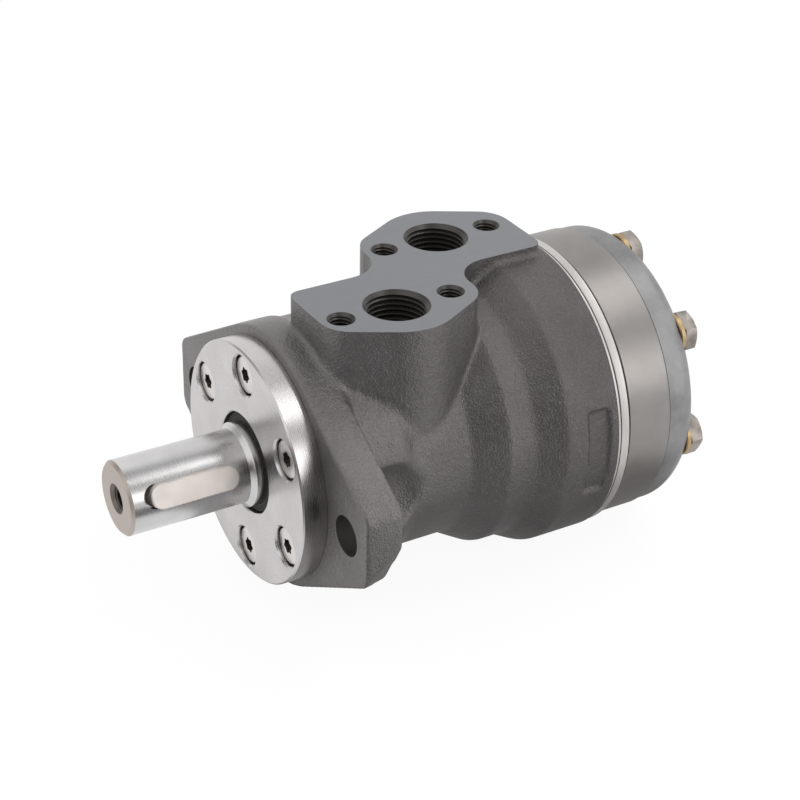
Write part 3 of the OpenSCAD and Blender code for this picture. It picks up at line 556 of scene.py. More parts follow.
# %% Bevels, outlines and prisms
def bevel_sharp(bm, width, segments=1, angle=50, keep=None):
    """Bevels the edges whose faces meet at more than an angle."""
    bm.normal_update()
    sharp = [e for e in bm.edges if len(e.link_faces) == 2 and e.calc_face_angle(0) > math.radians(angle)
             and (keep is None or keep(e))]
    bmesh.ops.bevel(bm, geom=sharp, offset=width * MM, offset_type="OFFSET", affect="EDGES",
                    segments=segments, profile=0.5, material=-1, clamp_overlap=True)


def arc(cx, cy, radius, start, end, steps):
    """Points along an arc, angles in degrees."""
    turns = [math.radians(start + (end - start) * i / steps) for i in range(steps + 1)]
    return [(cx + radius * math.cos(a), cy + radius * math.sin(a)) for a in turns]


def circle(radius, x=0, y=0):
    """A round outline of 36 points."""
    return arc(x, y, radius, 0, 350, 35)


def hexagon(flats):
    """A six-sided outline, by the width across its flats."""
    return arc(0, 0, flats / math.sqrt(3), 0, 300, 5)


def prism(outline, low, high, matrix=None):
    """Extrudes an outline of x, y points, in mm, between two heights."""
    bm = bmesh.new()
    face = bm.faces.new([bm.verts.new((x * MM, y * MM, low * MM)) for x, y in outline])
    lifted = bmesh.ops.extrude_face_region(bm, geom=[face])["geom"]
    bmesh.ops.translate(bm, verts=[v for v in lifted if isinstance(v, bmesh.types.BMVert)],
                        vec=(0, 0, (high - low) * MM))
    if matrix:
        bmesh.ops.transform(bm, matrix=matrix, verts=bm.verts)
    bmesh.ops.recalc_face_normals(bm, faces=bm.faces)
    return bm


def painted(bm, slot):
    """Gives every face of a cutter the slot that its cut will have."""
    for face in bm.faces:
        face.material_index = slot
    return bm


# %% Places about the shaft
def around(count, start, radius):
    """Moves to places on a circle about the shaft axis, in mm and degrees."""
    for i in range(count):
        a = math.radians(start + i * 360 / count)
        yield Matrix.Translation(Vector((radius * math.cos(a), 0, radius * math.sin(a))) * MM)


def outward(angle, y=0.0):
    """Stands +Z away from the shaft axis, at an angle from +X toward +Z."""
    return Matrix.Translation((0, y * MM, 0)) @ Matrix.Rotation(math.radians(90 - angle), 4, "Y")


def span(node):
    """The front and rear ends of a CAD node along the shaft, in mm."""
    low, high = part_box(node)
    return low.y / MM, high.y / MM


FRONT_STANDS_UP = Matrix.Rotation(math.radians(90), 4, "X")
print("helpers ready")

# %% [markdown]
# ## The casting
#
# The real housing is poured iron. Its skin flows from form to form, and only then is it milled:
# the port face, the joint face and the bores are cut through that skin with crisp edges. The model
# follows the same order. Closed rough forms that overlap, each a little too long where it will be
# milled, are merged by a voxel remesh. Smoothing then rounds the outer corners and fills the
# inner ones, as a foundry pattern's fillets do. Planes cut off the excess, and the bores come last.

# %% Sizes of the casting, in mm
FLANGE_T = 13.0
FLANGE_R = 44.6
FLANGE_HALF = 66.0
FLANGE_SLOPE = 31.0
EAR_CORNER = 4.5
EAR_HOLE_X = 53.2
EAR_HOLE_R = 6.75
EAR_TAPER_AT = (55, -30.5)
EAR_TAPER_NORMAL = (0.875, 0.377, -0.485)
AT_EARS = [Matrix.Translation((side * EAR_HOLE_X * MM, 0, 0)) for side in (-1, 1)]
NECK_R, NECK_END = 43.5, 27
WAIST_R, WAIST_START, WAIST_END = 40.2, 34.5, 53.6
STEP_R, STEP_START, STEP_END = 46.7, 64.9, 74.3
BARREL_R, BARREL_START = 51.8, 84.2
HOUSING_END = span("housing")[1]
PORT_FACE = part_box("housing")[1].z / MM
PORT_FRONT = Vector((18.2, 37.2))
PORT_REAR = Vector((-18.2, 73.6))
STUD_PITCH = 20.0
LOBE_R = 19.5
END_LOBE_R = 11.5
END_LOBE_Y = 16.5
LOBE_REACH = 4.3
LOBE_CORNER = 4.0
LOBE_HOLLOW = 12.0
BLOCK_SHIFT = Vector((-0.9, 0.9, 0))
BLOCK_ROOT = 8
AT_DRAIN = outward(240.0, 22.0)
DRAIN_FACE = 45
DRAIN_BOSS_R = 11
MILLING = 1.8
VOXEL = 0.62


def ease(y0, y1, r0, r1, steps=10):
    """A smooth step between two radii, as [radius, y] points."""
    return [(r0 + (r1 - r0) * (1 - math.cos(math.pi * i / steps)) / 2, y0 + (y1 - y0) * i / steps)
            for i in range(steps + 1)]


# %% Rough forms of the casting
def slice_off(bm, point, normal, slot=0):
    """Cuts off what lies beyond a plane and closes the cut with one flat face."""
    geometry = bm.verts[:] + bm.edges[:] + bm.faces[:]
    made = bmesh.ops.bisect_plane(bm, geom=geometry, dist=1e-7, plane_co=point, plane_no=normal,
                                  clear_outer=True)
    rim = [e for e in made["geom_cut"] if isinstance(e, bmesh.types.BMEdge)]
    flat = bmesh.ops.contextual_create(bm, geom=rim)["faces"]
    for face in flat:
        face.material_index = slot
    return len(flat)


def barrel_form():
    """The round body: neck, waist, step and rear barrel, with ramps between them."""
    rear = HOUSING_END + MILLING
    points = [(0, 0.5), (NECK_R, 0.5)] + ease(NECK_END, WAIST_START, NECK_R, WAIST_R)
    points += [(WAIST_R, WAIST_END), (STEP_R, STEP_START), (STEP_R, STEP_END), (BARREL_R, BARREL_START)]
    points += [(BARREL_R, rear), (0, rear)]
    return spun(points, steps=160)


def flange_form():
    """A round flange whose edge runs straight out to two ears, with the ears' lower corners taken off."""
    slope = math.radians(FLANGE_SLOPE)
    lean = 90 - FLANGE_SLOPE
    corner_x = FLANGE_HALF - EAR_CORNER
    corner_z = (FLANGE_R - EAR_CORNER - corner_x * math.sin(slope)) / math.cos(slope)
    outline = arc(0, 0, FLANGE_R, lean, 180 - lean, 32)
    outline += arc(-corner_x, corner_z, EAR_CORNER, 180 - lean, 180, 6)
    outline += arc(-corner_x, -corner_z, EAR_CORNER, 180, 180 + lean, 6)
    outline += arc(0, 0, FLANGE_R, 180 + lean, 360 - lean, 32)
    outline += arc(corner_x, -corner_z, EAR_CORNER, -lean, 0, 6)
    outline += arc(corner_x, corner_z, EAR_CORNER, 0, lean, 6)
    bm = prism(outline, -FLANGE_T, 0.0, FRONT_STANDS_UP)
    x, z = EAR_TAPER_AT
    across, back, down = EAR_TAPER_NORMAL
    for side in (-1, 1):
        slice_off(bm, Vector((side * x, 0, z)) * MM, (side * across, back, down))
    return bm


def lobes_form():
    """The block under the port face: two halves, each the other turned half round."""
    lean = math.degrees(math.asin((LOBE_R - END_LOBE_R) / END_LOBE_Y))
    x, y = PORT_FRONT
    front = y - END_LOBE_Y - END_LOBE_R
    rear = y + END_LOBE_Y + END_LOBE_R
    half = arc(LOBE_CORNER - LOBE_REACH, front + LOBE_CORNER, LOBE_CORNER, 180, 270, 6)
    half += arc(x, y - END_LOBE_Y, END_LOBE_R, -90, -lean, 10)
    half += arc(x, y, LOBE_R, -lean, lean, 14)
    half += arc(x, y + END_LOBE_Y, END_LOBE_R, lean, 90, 10)
    half += arc(LOBE_REACH + LOBE_HOLLOW, rear + LOBE_HOLLOW, LOBE_HOLLOW, 270, 180, 12)
    turned = [(-px, PORT_FRONT.y + PORT_REAR.y - py) for px, py in half]
    return prism(half + turned, BLOCK_ROOT, PORT_FACE + MILLING, Matrix.Translation(BLOCK_SHIFT * MM))


# Circles that the skirt is stretched over: x, y, radius and height.
SKIRT_CIRCLES = ((19.5, 28, 18.3, 10), (19.5, 28, 18.3, 19), (17.5, 22.5, 13.0, 31.5))


def front_skirt():
    """Below the front half of the block the wall runs out over a small ledge, behind the flange."""
    bm = bmesh.new()
    for x, y, radius, z in SKIRT_CIRCLES:
        for px, py in circle(radius, x, y):
            bm.verts.new(Vector((px, py, z)) * MM)
    bmesh.ops.convex_hull(bm, input=bm.verts)
    return bm


def drain_boss():
    root = 29
    return prism(circle(DRAIN_BOSS_R), root, DRAIN_FACE + MILLING, AT_DRAIN)


# %% Hollows that the mould leaves
HOLLOW_R = 17.0
HOLLOW_BALL_Y = 24.5
PANEL_DEPTH = 1.5
PANEL_FRONT, PANEL_REAR = 92, 100.5
PANEL_START, PANEL_ARC = -18, 35
PANEL_CORNER = 1.0


def at_panel_corner(e):
    """True for sharp edges square to the shaft, but for the floor's, which are under 2 mm long."""
    step = e.verts[0].co - e.verts[1].co
    level = abs(step.y) < 1e-6
    between_quads = all(len(f.verts) == 4 for f in e.link_faces)
    return level and between_quads and step.length > 2 * MM and e.calc_face_angle(0) > 1.4


def hollows():
    """The hollows behind the ears for the bolts' heads, and the panel sunk in the rear barrel."""
    profile = [(0, FLANGE_T), (HOLLOW_R, FLANGE_T)] + arc(0, HOLLOW_BALL_Y, HOLLOW_R, 0, 90, 12)
    bm = copies(lambda: spun(profile, steps=64), AT_EARS)
    floor, clear = BARREL_R - PANEL_DEPTH, BARREL_R + 2
    outline = [(floor, PANEL_FRONT), (clear, PANEL_FRONT), (clear, PANEL_REAR), (floor, PANEL_REAR)]
    panel = spun(outline, steps=16, angle=PANEL_ARC)
    bevel_sharp(panel, PANEL_CORNER, segments=3, angle=30, keep=at_panel_corner)
    add_copy(bm, panel, Matrix.Rotation(math.radians(PANEL_START), 4, "Y"))
    return bm


# %% Where the skin is softened
def soften(bm, rounds, chosen=None):
    """Smooths the chosen vertices, or all of them, a number of times."""
    verts = [v for v in bm.verts if chosen is None or chosen(v)]
    for _ in range(rounds):
        bmesh.ops.smooth_vert(bm, verts=verts, factor=0.5, use_axis_x=True, use_axis_y=True, use_axis_z=True)


def in_inner_corner(v):
    """True where the skin bends inward, as between two forms."""
    middle = sum((e.other_vert(v).co for e in v.link_edges), Vector()) / len(v.link_edges)
    return (middle - v.co).dot(v.normal) > 0.006 * MM


def at_flange_edge(v):
    """True near the flange's front edge."""
    return v.co.y < 5 * MM


def below_ledge(v):
    """True on the wall below the skirt's ledge, and where the ledge meets the flange."""
    x, y, z = v.co / MM
    on_wall = 27 < x < 47 and 14.5 < y < 38 and -14 < z < 30
    behind_flange = 2 < x < 32 and 5 < y < 18 and 29 < z < 44
    return on_wall or behind_flange


def at_ear_corner(v):
    """True on the tapered lower corners of the ears."""
    return abs(v.co.x) > 50 * MM and v.co.z < -8 * MM and v.co.y > 5 * MM


def at_hollow_rim(v):
    """True round the rims of the hollows behind the ears."""
    x, y, z = v.co / MM
    return 15 < y < 44 and 13 < math.hypot(abs(x) - EAR_HOLE_X, z) < 22


# %% Merge the forms and soften them as a foundry pattern is
KEPT_SHARE = 0.42
casting = bmesh.new()
for form in (barrel_form(), flange_form(), lobes_form(), front_skirt(), drain_boss()):
    add_copy(casting, form)
casting = modified(casting, "REMESH", mode="VOXEL", voxel_size=VOXEL * MM)
casting = cut(casting, hollows())
casting = modified(casting, "REMESH", mode="VOXEL", voxel_size=VOXEL * MM)
soften(casting, 3)
casting.normal_update()
soften(casting, 3, in_inner_corner)
soften(casting, 6, at_flange_edge)
soften(casting, 24, at_ear_corner)
soften(casting, 16, below_ledge)
soften(casting, 24, at_hollow_rim)
soften(casting, 1)
print("softened skin:", len(casting.faces), "faces")
casting = modified(casting, "DECIMATE", ratio=KEPT_SHARE)
print("thinned skin:", len(casting.faces), "faces")

# %% [markdown]
# ### Milling and boring
#
# A plane that bisects the mesh and drops what lies beyond it is the milling cutter. The open edge
# that it leaves is filled with one flat face, which gets its own finish. A plane has no end, so the
# drain boss, which stands in front of a wider barrel, is faced with a round end mill instead.

# %% Mill the flat faces
MILLED_SLOT, BORED_SLOT, EAR_HOLE_SHADE_SLOT = 1, 2, 3
print("port face:", slice_off(casting, (0, 0, PORT_FACE * MM), (0, 0, 1), MILLED_SLOT), "face")
print("joint face:", slice_off(casting, (0, HOUSING_END * MM, 0), (0, 1, 0), BORED_SLOT), "face")

# %% Bores, ports and threaded holes
VALVE_BORE_R = 22.0
SPIGOT_R = 25.05
SPIGOT_END = span("front_cover")[1]
SCREW_CIRCLE_R = 32.5
BOLT_CIRCLE_R = 42.0
PASSAGE_CIRCLE_R = 29.5
PASSAGE_R = 2.5
ANNULUS_R = 25.5
ANNULUS_HALF = 4.5
DUCT_X = 13.7
DUCT_R = 5
DRAIN_HOLE_R = 6.55
SPOT_FACER_R = 13
SHANK_R = 4.05
PORT_THREAD = {"outer": 10.48, "core": 9.4, "pitch": 1.814, "depth": 16.5, "mouth": 10.95}
STUD_THREAD = {"outer": 4.0, "core": 3.4, "pitch": 1.25, "depth": 14.0, "mouth": 4.6}


def bore_tools():
    """Cutters that don't touch each other, so one cut takes them all."""
    before, past = -1, HOUSING_END + 1
    points = [(0, before), (SPIGOT_R, before), (SPIGOT_R, SPIGOT_END), (VALVE_BORE_R, SPIGOT_END)]
    for y in (PORT_FRONT.y, PORT_REAR.y):
        front, rear = y - ANNULUS_HALF, y + ANNULUS_HALF
        points += [(VALVE_BORE_R, front), (ANNULUS_R, front), (ANNULUS_R, rear), (VALVE_BORE_R, rear)]
    points += [(VALVE_BORE_R, past), (0, past)]
    bm = spun(points, steps=96)
    screw_hole = [(0, before), (SHANK_R, before), (SHANK_R, 17), (0, 19)]
    bolt_hole = [(0, HOUSING_END - 18), (SHANK_R, HOUSING_END - 16.5), (SHANK_R, past), (0, past)]
    passage = [(0, 55), (PASSAGE_R, 55), (PASSAGE_R, past), (0, past)]
    for count, circle_r, hole, steps in (
        (6, SCREW_CIRCLE_R, screw_hole, 32),
        (7, BOLT_CIRCLE_R, bolt_hole, 32),
        (7, PASSAGE_CIRCLE_R, passage, 24),
    ):
        for place in around(count, 90, circle_r):
            add_copy(bm, spun(hole, steps=steps), place)
    return bm


def ear_tools():
    return copies(lambda: rod(EAR_HOLE_R, -1, FLANGE_T + 3, 64), AT_EARS)


def threaded_hole(thread, steps):
    """A hole down from height 0, as wide as the thread's outside, with a chamfered mouth."""
    outer, mouth, deep = thread["outer"], thread["mouth"], thread["depth"] + 1.5
    points = [(0, -deep - outer * 0.5), (outer, -deep), (outer, outer - mouth)]
    points += [(mouth, 0), (mouth, 1), (0, 1)]
    return spun(points, steps=steps)


def port_face_holes():
    """Where each hole in the port face is, with its thread."""
    for port in (PORT_FRONT, PORT_REAR):
        yield PORT_THREAD, port.x, port.y
        for way in (-1, 1):
            yield STUD_THREAD, port.x, port.y + way * STUD_PITCH


def on_port_face(x, y):
    return Matrix.Translation(Vector((x, y, PORT_FACE)) * MM) @ FRONT_STANDS_UP


def port_tools():
    bm = bmesh.new()
    for thread, x, y in port_face_holes():
        add_copy(bm, threaded_hole(thread, 96 if thread is PORT_THREAD else 48), on_port_face(x, y))
    return bm


def spot_facer():
    """The end mill that faces the drain boss. It reaches 2 mm past the boss and spares the barrel."""
    return prism(circle(SPOT_FACER_R), DRAIN_FACE, DRAIN_FACE + 7, AT_DRAIN)


def duct_tools():
    """The ducts from the ports' floors down to their annular grooves, and the drain hole."""
    bm = prism(circle(DUCT_R, DUCT_X, PORT_FRONT.y), 20, 40)
    add_copy(bm, prism(circle(DUCT_R, -DUCT_X, PORT_REAR.y), 20, 40))
    add_copy(bm, prism(circle(DRAIN_HOLE_R), 27, DRAIN_FACE + 2, AT_DRAIN))
    return bm


for tool in (bore_tools(), port_tools(), spot_facer(), duct_tools()):
    casting = cut(casting, painted(tool, BORED_SLOT))
# The ear holes get the near-black slot: painted shade.
casting = cut(casting, painted(ear_tools(), EAR_HOLE_SHADE_SLOT))
finish_piece(casting, "cast_housing", "motor", [CAST, MILLED, BORED, DARK_SEAM_AND_HOLE_SHADE], ["housing"],
             smooth_angle=38)

# %% [markdown]
# ### Threads
#
# A thread is a ridge that climbs as it goes round. A spin with a shift at each step makes just
# that from one small trapezium, and a countersink then takes the ridge's first turn away.

# %% Threads in the ports and fixing holes
TURN_STEPS = 40


def thread_ridge(thread):
    """A thread's ridge, from a little below the mouth down to its depth."""
    outer, core, pitch, mouth = thread["outer"], thread["core"], thread["pitch"], thread["mouth"]
    turns = int(thread["depth"] / pitch)
    base, crest = 0.44 * pitch, 0.07 * pitch
    low, sunk = -turns * pitch, outer + 0.08
    profile = [(sunk, low - base), (core, low - crest), (core, low + crest), (sunk, low + base)]
    ridge = spun(profile, steps=turns * TURN_STEPS, angle=turns * 360.0, shift=pitch / TURN_STEPS)
    sink = [(0, 2), (mouth + 2, 2), (mouth, 0), (core - 0.3, core - 0.3 - mouth), (0, core - 0.3 - mouth)]
    return cut(ridge, spun(sink, steps=64))


threads = bmesh.new()
for thread, x, y in port_face_holes():
    add_copy(threads, thread_ridge(thread), on_port_face(x, y))
finish_piece(threads, "port_threads", "motor", [BORED])

# %% [markdown]
# ## Front cover and its screws
#
# The bright collar is turned from steel. It centres the motor in its mounting and holds the shaft
# seal. Its six screws have low heads with six-lobed sockets, sunk in counterbores.

# %% Front cover
COVER_FACE = span("front_cover")[0]
COVER_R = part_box("front_cover")[1].x / MM
COVER_BORE_R = 17.2
HEAD_TOP = COVER_FACE + 1.1
HEAD_SEAT = COVER_FACE + 5.8
HEAD_R = 6.3


def front_cover():
    """The collar with its spigot, its seal seats and the six counterbores."""
    spigot_r, seal_seat_r, web_r = 25, 20.05, 15.25
    web_front, web_rear = -3.6, -1.6
    profile = [(COVER_BORE_R + 0.4, COVER_FACE), (COVER_R - 0.5, COVER_FACE), (COVER_R, COVER_FACE + 0.5),
               (COVER_R, 0), (spigot_r, 0), (spigot_r, SPIGOT_END), (seal_seat_r, SPIGOT_END),
               (seal_seat_r, web_rear), (web_r, web_rear), (web_r, web_front),
               (COVER_BORE_R, web_front), (COVER_BORE_R, COVER_FACE + 0.4)]
    bm = spun(profile)
    bevel_sharp(bm, 0.12)
    pocket_r = HEAD_R + 0.45
    drill = [(0, COVER_FACE - 1), (pocket_r + 1.55, COVER_FACE - 1), (pocket_r, COVER_FACE + 0.55),
             (pocket_r, HEAD_SEAT), (SHANK_R, HEAD_SEAT), (SHANK_R, 1), (0, 1)]
    return cut(bm, copies(lambda: spun(drill, steps=64), around(6, 90, SCREW_CIRCLE_R)))


finish_piece(front_cover(), "turned_front_cover", "motor", [TURNED], ["front_cover"])


# %% Cover screws
def six_lobe(radius):
    """The outline of a six-lobed socket."""
    outline = []
    for i in range(72):
        a = math.radians(5 * i)
        reach = radius * (0.9 + 0.1 * math.cos(6 * a))
        outline.append((reach * math.cos(a), reach * math.sin(a)))
    return outline


def cover_screw():
    """A low round head on a plain shank, with its socket sunk 2 mm."""
    profile = [(0, HEAD_TOP), (HEAD_R - 0.6, HEAD_TOP), (HEAD_R - 0.15, HEAD_TOP + 0.25),
               (HEAD_R, HEAD_TOP + 0.7), (HEAD_R, HEAD_SEAT), (4, HEAD_SEAT), (4, HEAD_SEAT + 15.2),
               (3.2, HEAD_SEAT + 16), (0, HEAD_SEAT + 16)]
    bm = spun(profile, steps=64)
    # The socket's faces get slot 1: painted shade.
    socket = prism(six_lobe(2.7), -HEAD_TOP - 2.0, -HEAD_TOP + 1, FRONT_STANDS_UP)
    return cut(bm, painted(socket, 1))


screws = bmesh.new()
for i, place in enumerate(around(6, 90, SCREW_CIRCLE_R)):
    add_copy(screws, cover_screw(), place @ Matrix.Rotation(0.7 * i, 4, "Y"))
finish_piece(screws, "six_lobe_screws", "motor", [SCREW_STEEL, PAINTED_HOLE_SHADE], ["front_cover_screws"])

# %% [markdown]
# ## Output shaft and key
#
# The shaft is ground where the seal runs and turned at its keyed end. A keyway cutter with the
# key's width leaves the slot's round ends. The key is a little shorter than its slot, which shows
# as a dark crescent at the front.

# %% Output shaft
SHAFT_TIP, DRUM_END = span("output_shaft")
SHAFT_R = 12.5
KEY_ANGLE = 22.0
KEY_W = 8.0
KEY_H = 7
KEY_FLOOR = 8.5
KEYWAY_FRONT = SHAFT_TIP + 4.7
KEYWAY_REAR = KEYWAY_FRONT + 31.8
KEY_FRONT = KEYWAY_REAR - 30.4
CENTRE_THREAD = {"outer": 4.0, "core": 3.4, "pitch": 1.25, "depth": 20.0, "mouth": 5.1}
SHAFT_DIRECTION = Matrix.Translation((0, SHAFT_TIP * MM, 0)) @ Matrix.Rotation(math.pi, 4, "X")


def round_ended(width, y0, y1, steps=16):
    """A slot's outline: straight sides and round ends."""
    half = width / 2
    return arc(0, y0 + half, half, 180, 360, steps) + arc(0, y1 - half, half, 0, 180, steps)


def shaft_blank():
    """The keyed end, the journal, and the valve drum with two grooves and a stepped bore."""
    journal_r, drum_r, drum_front = 14.25, 21.97, 9.15
    groove_r, groove_half = drum_r - 2.8, 3.5
    profile = [(0, SHAFT_TIP), (SHAFT_R - 1, SHAFT_TIP), (SHAFT_R, SHAFT_TIP + 1), (SHAFT_R, -12.3),
               (journal_r, -10.8), (journal_r, drum_front), (drum_r - 0.5, drum_front), (drum_r, 9.65)]
    for y in (PORT_FRONT.y, PORT_REAR.y):
        front, rear = y - groove_half, y + groove_half
        profile += [(drum_r, front), (groove_r, front), (groove_r, rear), (drum_r, rear)]
    profile += [(drum_r, DRUM_END - 0.5), (drum_r - 0.5, DRUM_END), (12, DRUM_END), (12, 60.6),
                (9.75, 57.1), (8.6, 57.1), (8.6, 44.3), (0, 44.3)]
    return spun(profile)


def valve_slots():
    """Twelve slots round the drum, which reach forward and rearward by turns."""
    half, floor, clear = 2.2, 18.9, 23
    bm = bmesh.new()
    for i in range(12):
        y0, y1 = (PORT_FRONT.y, 60.4) if i % 2 == 0 else (50.4, PORT_REAR.y)
        outline = [(-half, y0), (half, y0), (half, y1), (-half, y1)]
        add_copy(bm, prism(outline, floor, clear, outward(i * 30)))
    return bm


# %% Cut the keyway and the centre hole
def at_keyway_rim(e):
    """True for edges between the keyway's ends that lie near the shaft's surface."""
    front, rear = KEYWAY_FRONT * MM - 1e-4, KEYWAY_REAR * MM + 1e-4
    return all(front < v.co.y < rear and v.co.x ** 2 + v.co.z ** 2 > (12 * MM) ** 2 for v in e.verts)


def moved(bm):
    """Turns a hole made below height 0 into one in the shaft's end face."""
    bmesh.ops.transform(bm, matrix=SHAFT_DIRECTION, verts=bm.verts)
    return bm


def output_shaft():
    bm = shaft_blank()
    bevel_sharp(bm, 0.12, keep=lambda e: e.verts[0].co.y < -9 * MM)
    bm = cut(bm, valve_slots())
    outline = round_ended(KEY_W + 0.04, KEYWAY_FRONT, KEYWAY_REAR)
    bm = cut(bm, prism(outline, KEY_FLOOR, SHAFT_R + 2, outward(KEY_ANGLE)))
    bevel_sharp(bm, 0.15, keep=at_keyway_rim)
    # The end face and its chamfer get slot 1, a warm painted reflection.
    for face in bm.faces:
        if face.normal.y < -0.6 and face.calc_center_median().y < (SHAFT_TIP + 1) * MM:
            face.material_index = 1
    # The centre hole gets slot 2: painted shade.
    return cut(bm, painted(moved(threaded_hole(CENTRE_THREAD, 48)), 2))


finish_piece(output_shaft(), "ground_shaft", "shaft", [GROUND, END_FACE_WARM_REFLECTION, PAINTED_HOLE_SHADE], ["output_shaft"])
finish_piece(moved(thread_ridge(CENTRE_THREAD)), "shaft_thread_ridge", "shaft", [BORED])


# %% Key
def shaft_key():
    outline = round_ended(KEY_W, KEY_FRONT, KEYWAY_REAR)
    bm = prism(outline, KEY_FLOOR, KEY_FLOOR + KEY_H, outward(KEY_ANGLE))
    bevel_sharp(bm, 0.35)
    return bm


finish_piece(shaft_key(), "rounded_key", "shaft", [KEY_STEEL], ["shaft_key"])

# %% [markdown]
# ## Distributor plate, gear ring and end cover
#
# Behind the casting three discs are stacked: a thin ground plate that shares out the oil, the ring
# that holds the rollers, and a plain thick cover. Seven bolts clamp them. Where their edges meet,
# three fine lines are coloured dark: the cover's front chamfer, a groove at the ring's front, and one
# in the plate.

# %% Discs with holes and seams
PLATE_FRONT, PLATE_REAR = span("distributor_plate")
RING_FRONT, RING_REAR = span("gear_ring")
COVER_FRONT, COVER_REAR = span("end_cover")
WASHER_FRONT, WASHER_REAR = span("bolt_washers")
COVER_ROUND = 6.0
EDGE_CHAMFER = 0.3
SEAM_FLOOR = 0.45
SEAM_SKIN = 0.1
SEAM_END = 1.7
SEAM_SLOT = 1
BOLT_HOLES = (7, 90, BOLT_CIRCLE_R, SHANK_R)
PASSAGE_HOLES = (7, 90, PASSAGE_CIRCLE_R, PASSAGE_R)


def radius_of(node):
    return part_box(node)[1].x / MM


def disc_with_holes(profile, holes):
    """Spins a profile and drills straight holes: count, start angle, circle and hole radius.

    Faces just under the outer surface, near the front, are seams and get the dark slot.
    """
    bm = spun(profile)
    bevel_sharp(bm, 0.08)
    outside = max(r for r, _ in profile)
    seam_end = min(y for _, y in profile) + SEAM_END
    for face in bm.faces:
        middle = face.calc_center_median() / MM
        sunk = outside - SEAM_FLOOR < math.hypot(middle.x, middle.z) < outside - SEAM_SKIN
        if sunk and middle.y < seam_end and abs(face.normal.y) < 0.95:
            face.material_index = SEAM_SLOT
    y0, y1 = min(y for _, y in profile) - 1, max(y for _, y in profile) + 1
    drills = bmesh.new()
    for count, start, circle_r, hole_r in holes:
        for place in around(count, start, circle_r):
            add_copy(drills, rod(hole_r, y0, y1, 48), place)
    return cut(bm, drills)


def edged(inner, outer, y0, y1, chamfer):
    """A ring's profile with its outer corners chamfered."""
    inside = outer - chamfer
    front, rear = y0 + chamfer, y1 - chamfer
    return [(inner, y0), (inside, y0), (outer, front), (outer, rear), (inside, y1), (inner, y1)]


# %% Distributor plate
PLATE_BORE_R = 13.5
PLATE_LINE = 0.3
plate_r = radius_of("distributor_plate")
plate_profile = edged(PLATE_BORE_R, plate_r, PLATE_FRONT, PLATE_REAR, EDGE_CHAMFER)
plate_profile[3:3] = [(plate_r, PLATE_FRONT + 1.0), (plate_r - PLATE_LINE, PLATE_FRONT + 1.25),
                      (plate_r, PLATE_FRONT + 1.5)]
plate = disc_with_holes(plate_profile, [BOLT_HOLES, PASSAGE_HOLES])
finish_piece(plate, "ground_plate", "motor", [PLATE, DARK_SEAM_AND_HOLE_SHADE], ["distributor_plate"])

# %% Gear ring
RING_BORE_R = 31.9
RING_GROOVE = 0.35
ROLLER_CIRCLE_R = 32.0
ROLLER_POCKET_R = 6.26
ring_r = radius_of("gear_ring")
ring_profile = edged(RING_BORE_R, ring_r, RING_FRONT, RING_REAR, EDGE_CHAMFER)
ring_profile[1:3] = [(ring_r - RING_GROOVE, RING_FRONT), (ring_r - RING_GROOVE, RING_FRONT + 1.0),
                     (ring_r, RING_FRONT + 1.1)]
ring = disc_with_holes(ring_profile, [BOLT_HOLES])
pockets = copies(lambda: rod(ROLLER_POCKET_R, RING_FRONT - 1, RING_REAR + 1, 64),
                 around(7, 90 + 180 / 7, ROLLER_CIRCLE_R))
finish_piece(cut(ring, pockets), "roller_ring", "motor", [RING, DARK_SEAM_AND_HOLE_SHADE], ["gear_ring"])

# %% End cover
SEAT_R = 8.5
cover_r = radius_of("end_cover")
round_r, round_y = cover_r - COVER_ROUND, COVER_REAR - COVER_ROUND
cover_profile = [(0, COVER_FRONT), (cover_r - EDGE_CHAMFER, COVER_FRONT),
                 (cover_r, COVER_FRONT + EDGE_CHAMFER)]
cover_profile += arc(round_r, round_y, COVER_ROUND, 0, 90, 16) + [(0, COVER_REAR)]
cover = disc_with_holes(cover_profile, [BOLT_HOLES])
seat = [(0, WASHER_FRONT), (SEAT_R - 0.2, WASHER_FRONT), (SEAT_R, WASHER_FRONT + 0.2),
        (SEAT_R, COVER_REAR + 1), (0, COVER_REAR + 1)]
seats = copies(lambda: spun(seat, steps=64), around(7, 90, BOLT_CIRCLE_R))
finish_piece(cut(cover, seats), "rear_cover", "motor", [COVER_STEEL, DARK_SEAM_AND_HOLE_SHADE], ["end_cover"])

# %% Bolts and washers
BOLT_FRONT, BOLT_REAR = span("end_cover_bolts")
FLATS = 13.0
FLAT_TOP_R = FLATS * 0.475
WASHER_HOLE_R, WASHER_R = 4.2, 7.2


def hex_bolt():
    """A hexagonal head whose corners are turned off by the cone of a chamfer, on a plain shank."""
    head = prism(hexagon(FLATS), -BOLT_REAR, -WASHER_REAR, FRONT_STANDS_UP)
    bell = spun([(0, WASHER_REAR - 1), (9, WASHER_REAR - 1), (9, BOLT_REAR - 1.5), (FLAT_TOP_R, BOLT_REAR),
                 (0, BOLT_REAR)], steps=96)
    head = cut(head, bell, operation="INTERSECT")
    bevel_sharp(head, 0.12, angle=30)
    shank = spun([(0, BOLT_FRONT), (3, BOLT_FRONT), (4, BOLT_FRONT + 1), (4, WASHER_REAR + 0.5),
                  (0, WASHER_REAR + 0.5)], steps=48)
    add_copy(head, shank)
    return head


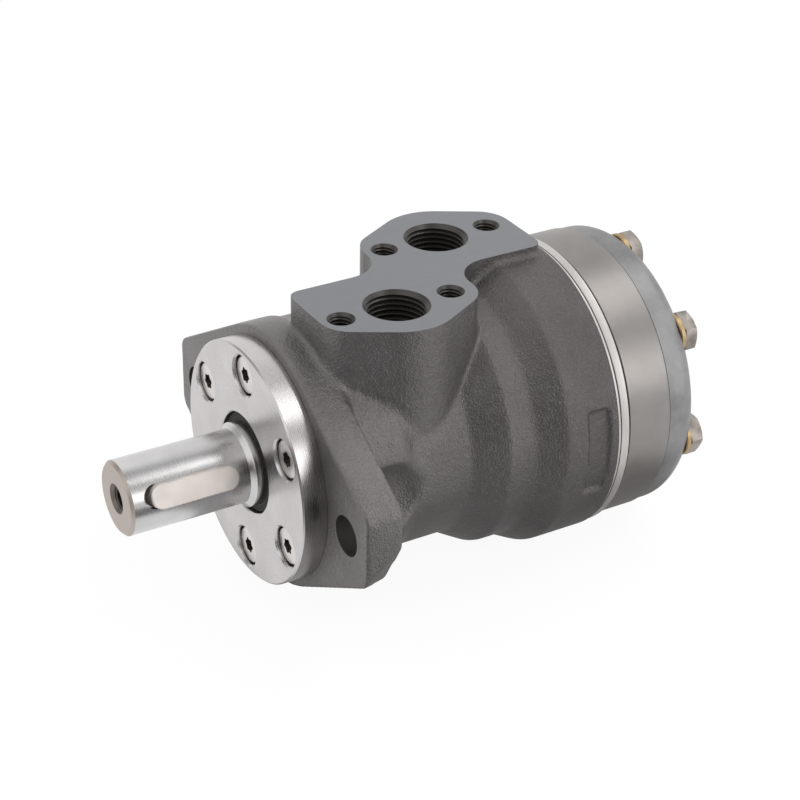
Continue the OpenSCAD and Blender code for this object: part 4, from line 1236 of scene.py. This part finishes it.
bolts = bmesh.new()
for i, place in enumerate(around(7, 90, BOLT_CIRCLE_R)):
    add_copy(bolts, hex_bolt(), place @ Matrix.Rotation(0.35 + 0.55 * i, 4, "Y"))
washer_profile = edged(WASHER_HOLE_R, WASHER_R, WASHER_FRONT, WASHER_REAR, 0.35)
washers = copies(lambda: spun(washer_profile, steps=64), around(7, 90, BOLT_CIRCLE_R))
finish_piece(bolts, "hex_bolts", "motor", [BOLT_ZINC], ["end_cover_bolts"])
finish_piece(washers, "gold_washers", "motor", [WASHER], ["bolt_washers"])


# %% Drain plug
PLUG_THREAD_R = 6.5
PLUG_HEAD_R = 9.5
PLUG_FLATS = 6


def drain_plug():
    """A plug with a round head and a hexagonal socket, made along the shaft and then stood on its boss."""
    profile = [(0, 36), (6, 36), (PLUG_THREAD_R, 36.5), (PLUG_THREAD_R, 46.2), (PLUG_HEAD_R, 46.2),
               (PLUG_HEAD_R, 49.2), (8.9, 49.8), (0, 49.8)]
    bm = spun(profile, steps=64)
    # The socket's faces get slot 1: painted shade.
    bm = cut(bm, painted(prism(hexagon(PLUG_FLATS), -51, -42, FRONT_STANDS_UP), 1))
    bmesh.ops.transform(bm, matrix=AT_DRAIN @ FRONT_STANDS_UP, verts=bm.verts)
    return bm


finish_piece(drain_plug(), "socket_drain_plug", "motor", [SCREW_STEEL, PAINTED_HOLE_SHADE], ["drain_plug"])

# %% [markdown]
# ## Finish for the pieces that come as CAD
#
# What lies inside, and what is small and already right, keeps its CAD mesh and only gets its
# finish.

# %% Finish of the CAD pieces
CAD_FINISH = {
    RUBBER: ["front_cover_seal", "dust_seal", "shaft_seal", "housing_rear_seal", "ring_front_seal",
             "ring_rear_seal"],
    GROUND: ["seal_support_ring", "thrust_race", "drive_spacer", "rotor", "check_ball_left",
             "check_ball_right", "shaft_seal_spring"] + [f"roller_{i}" for i in range(1, 8)],
    BRASS: ["thrust_needle_cage"],
    RING: ["drive_link"],
    SCREW_STEEL: ["check_plugs"],
    WASHER: ["drain_washer"],
}
for material, names in CAD_FINISH.items():
    for name in names:
        mesh = nodes[name].data
        mesh.materials.clear()
        mesh.materials.append(material)
print("CAD pieces with a finish:", sum(len(names) for names in CAD_FINISH.values()))
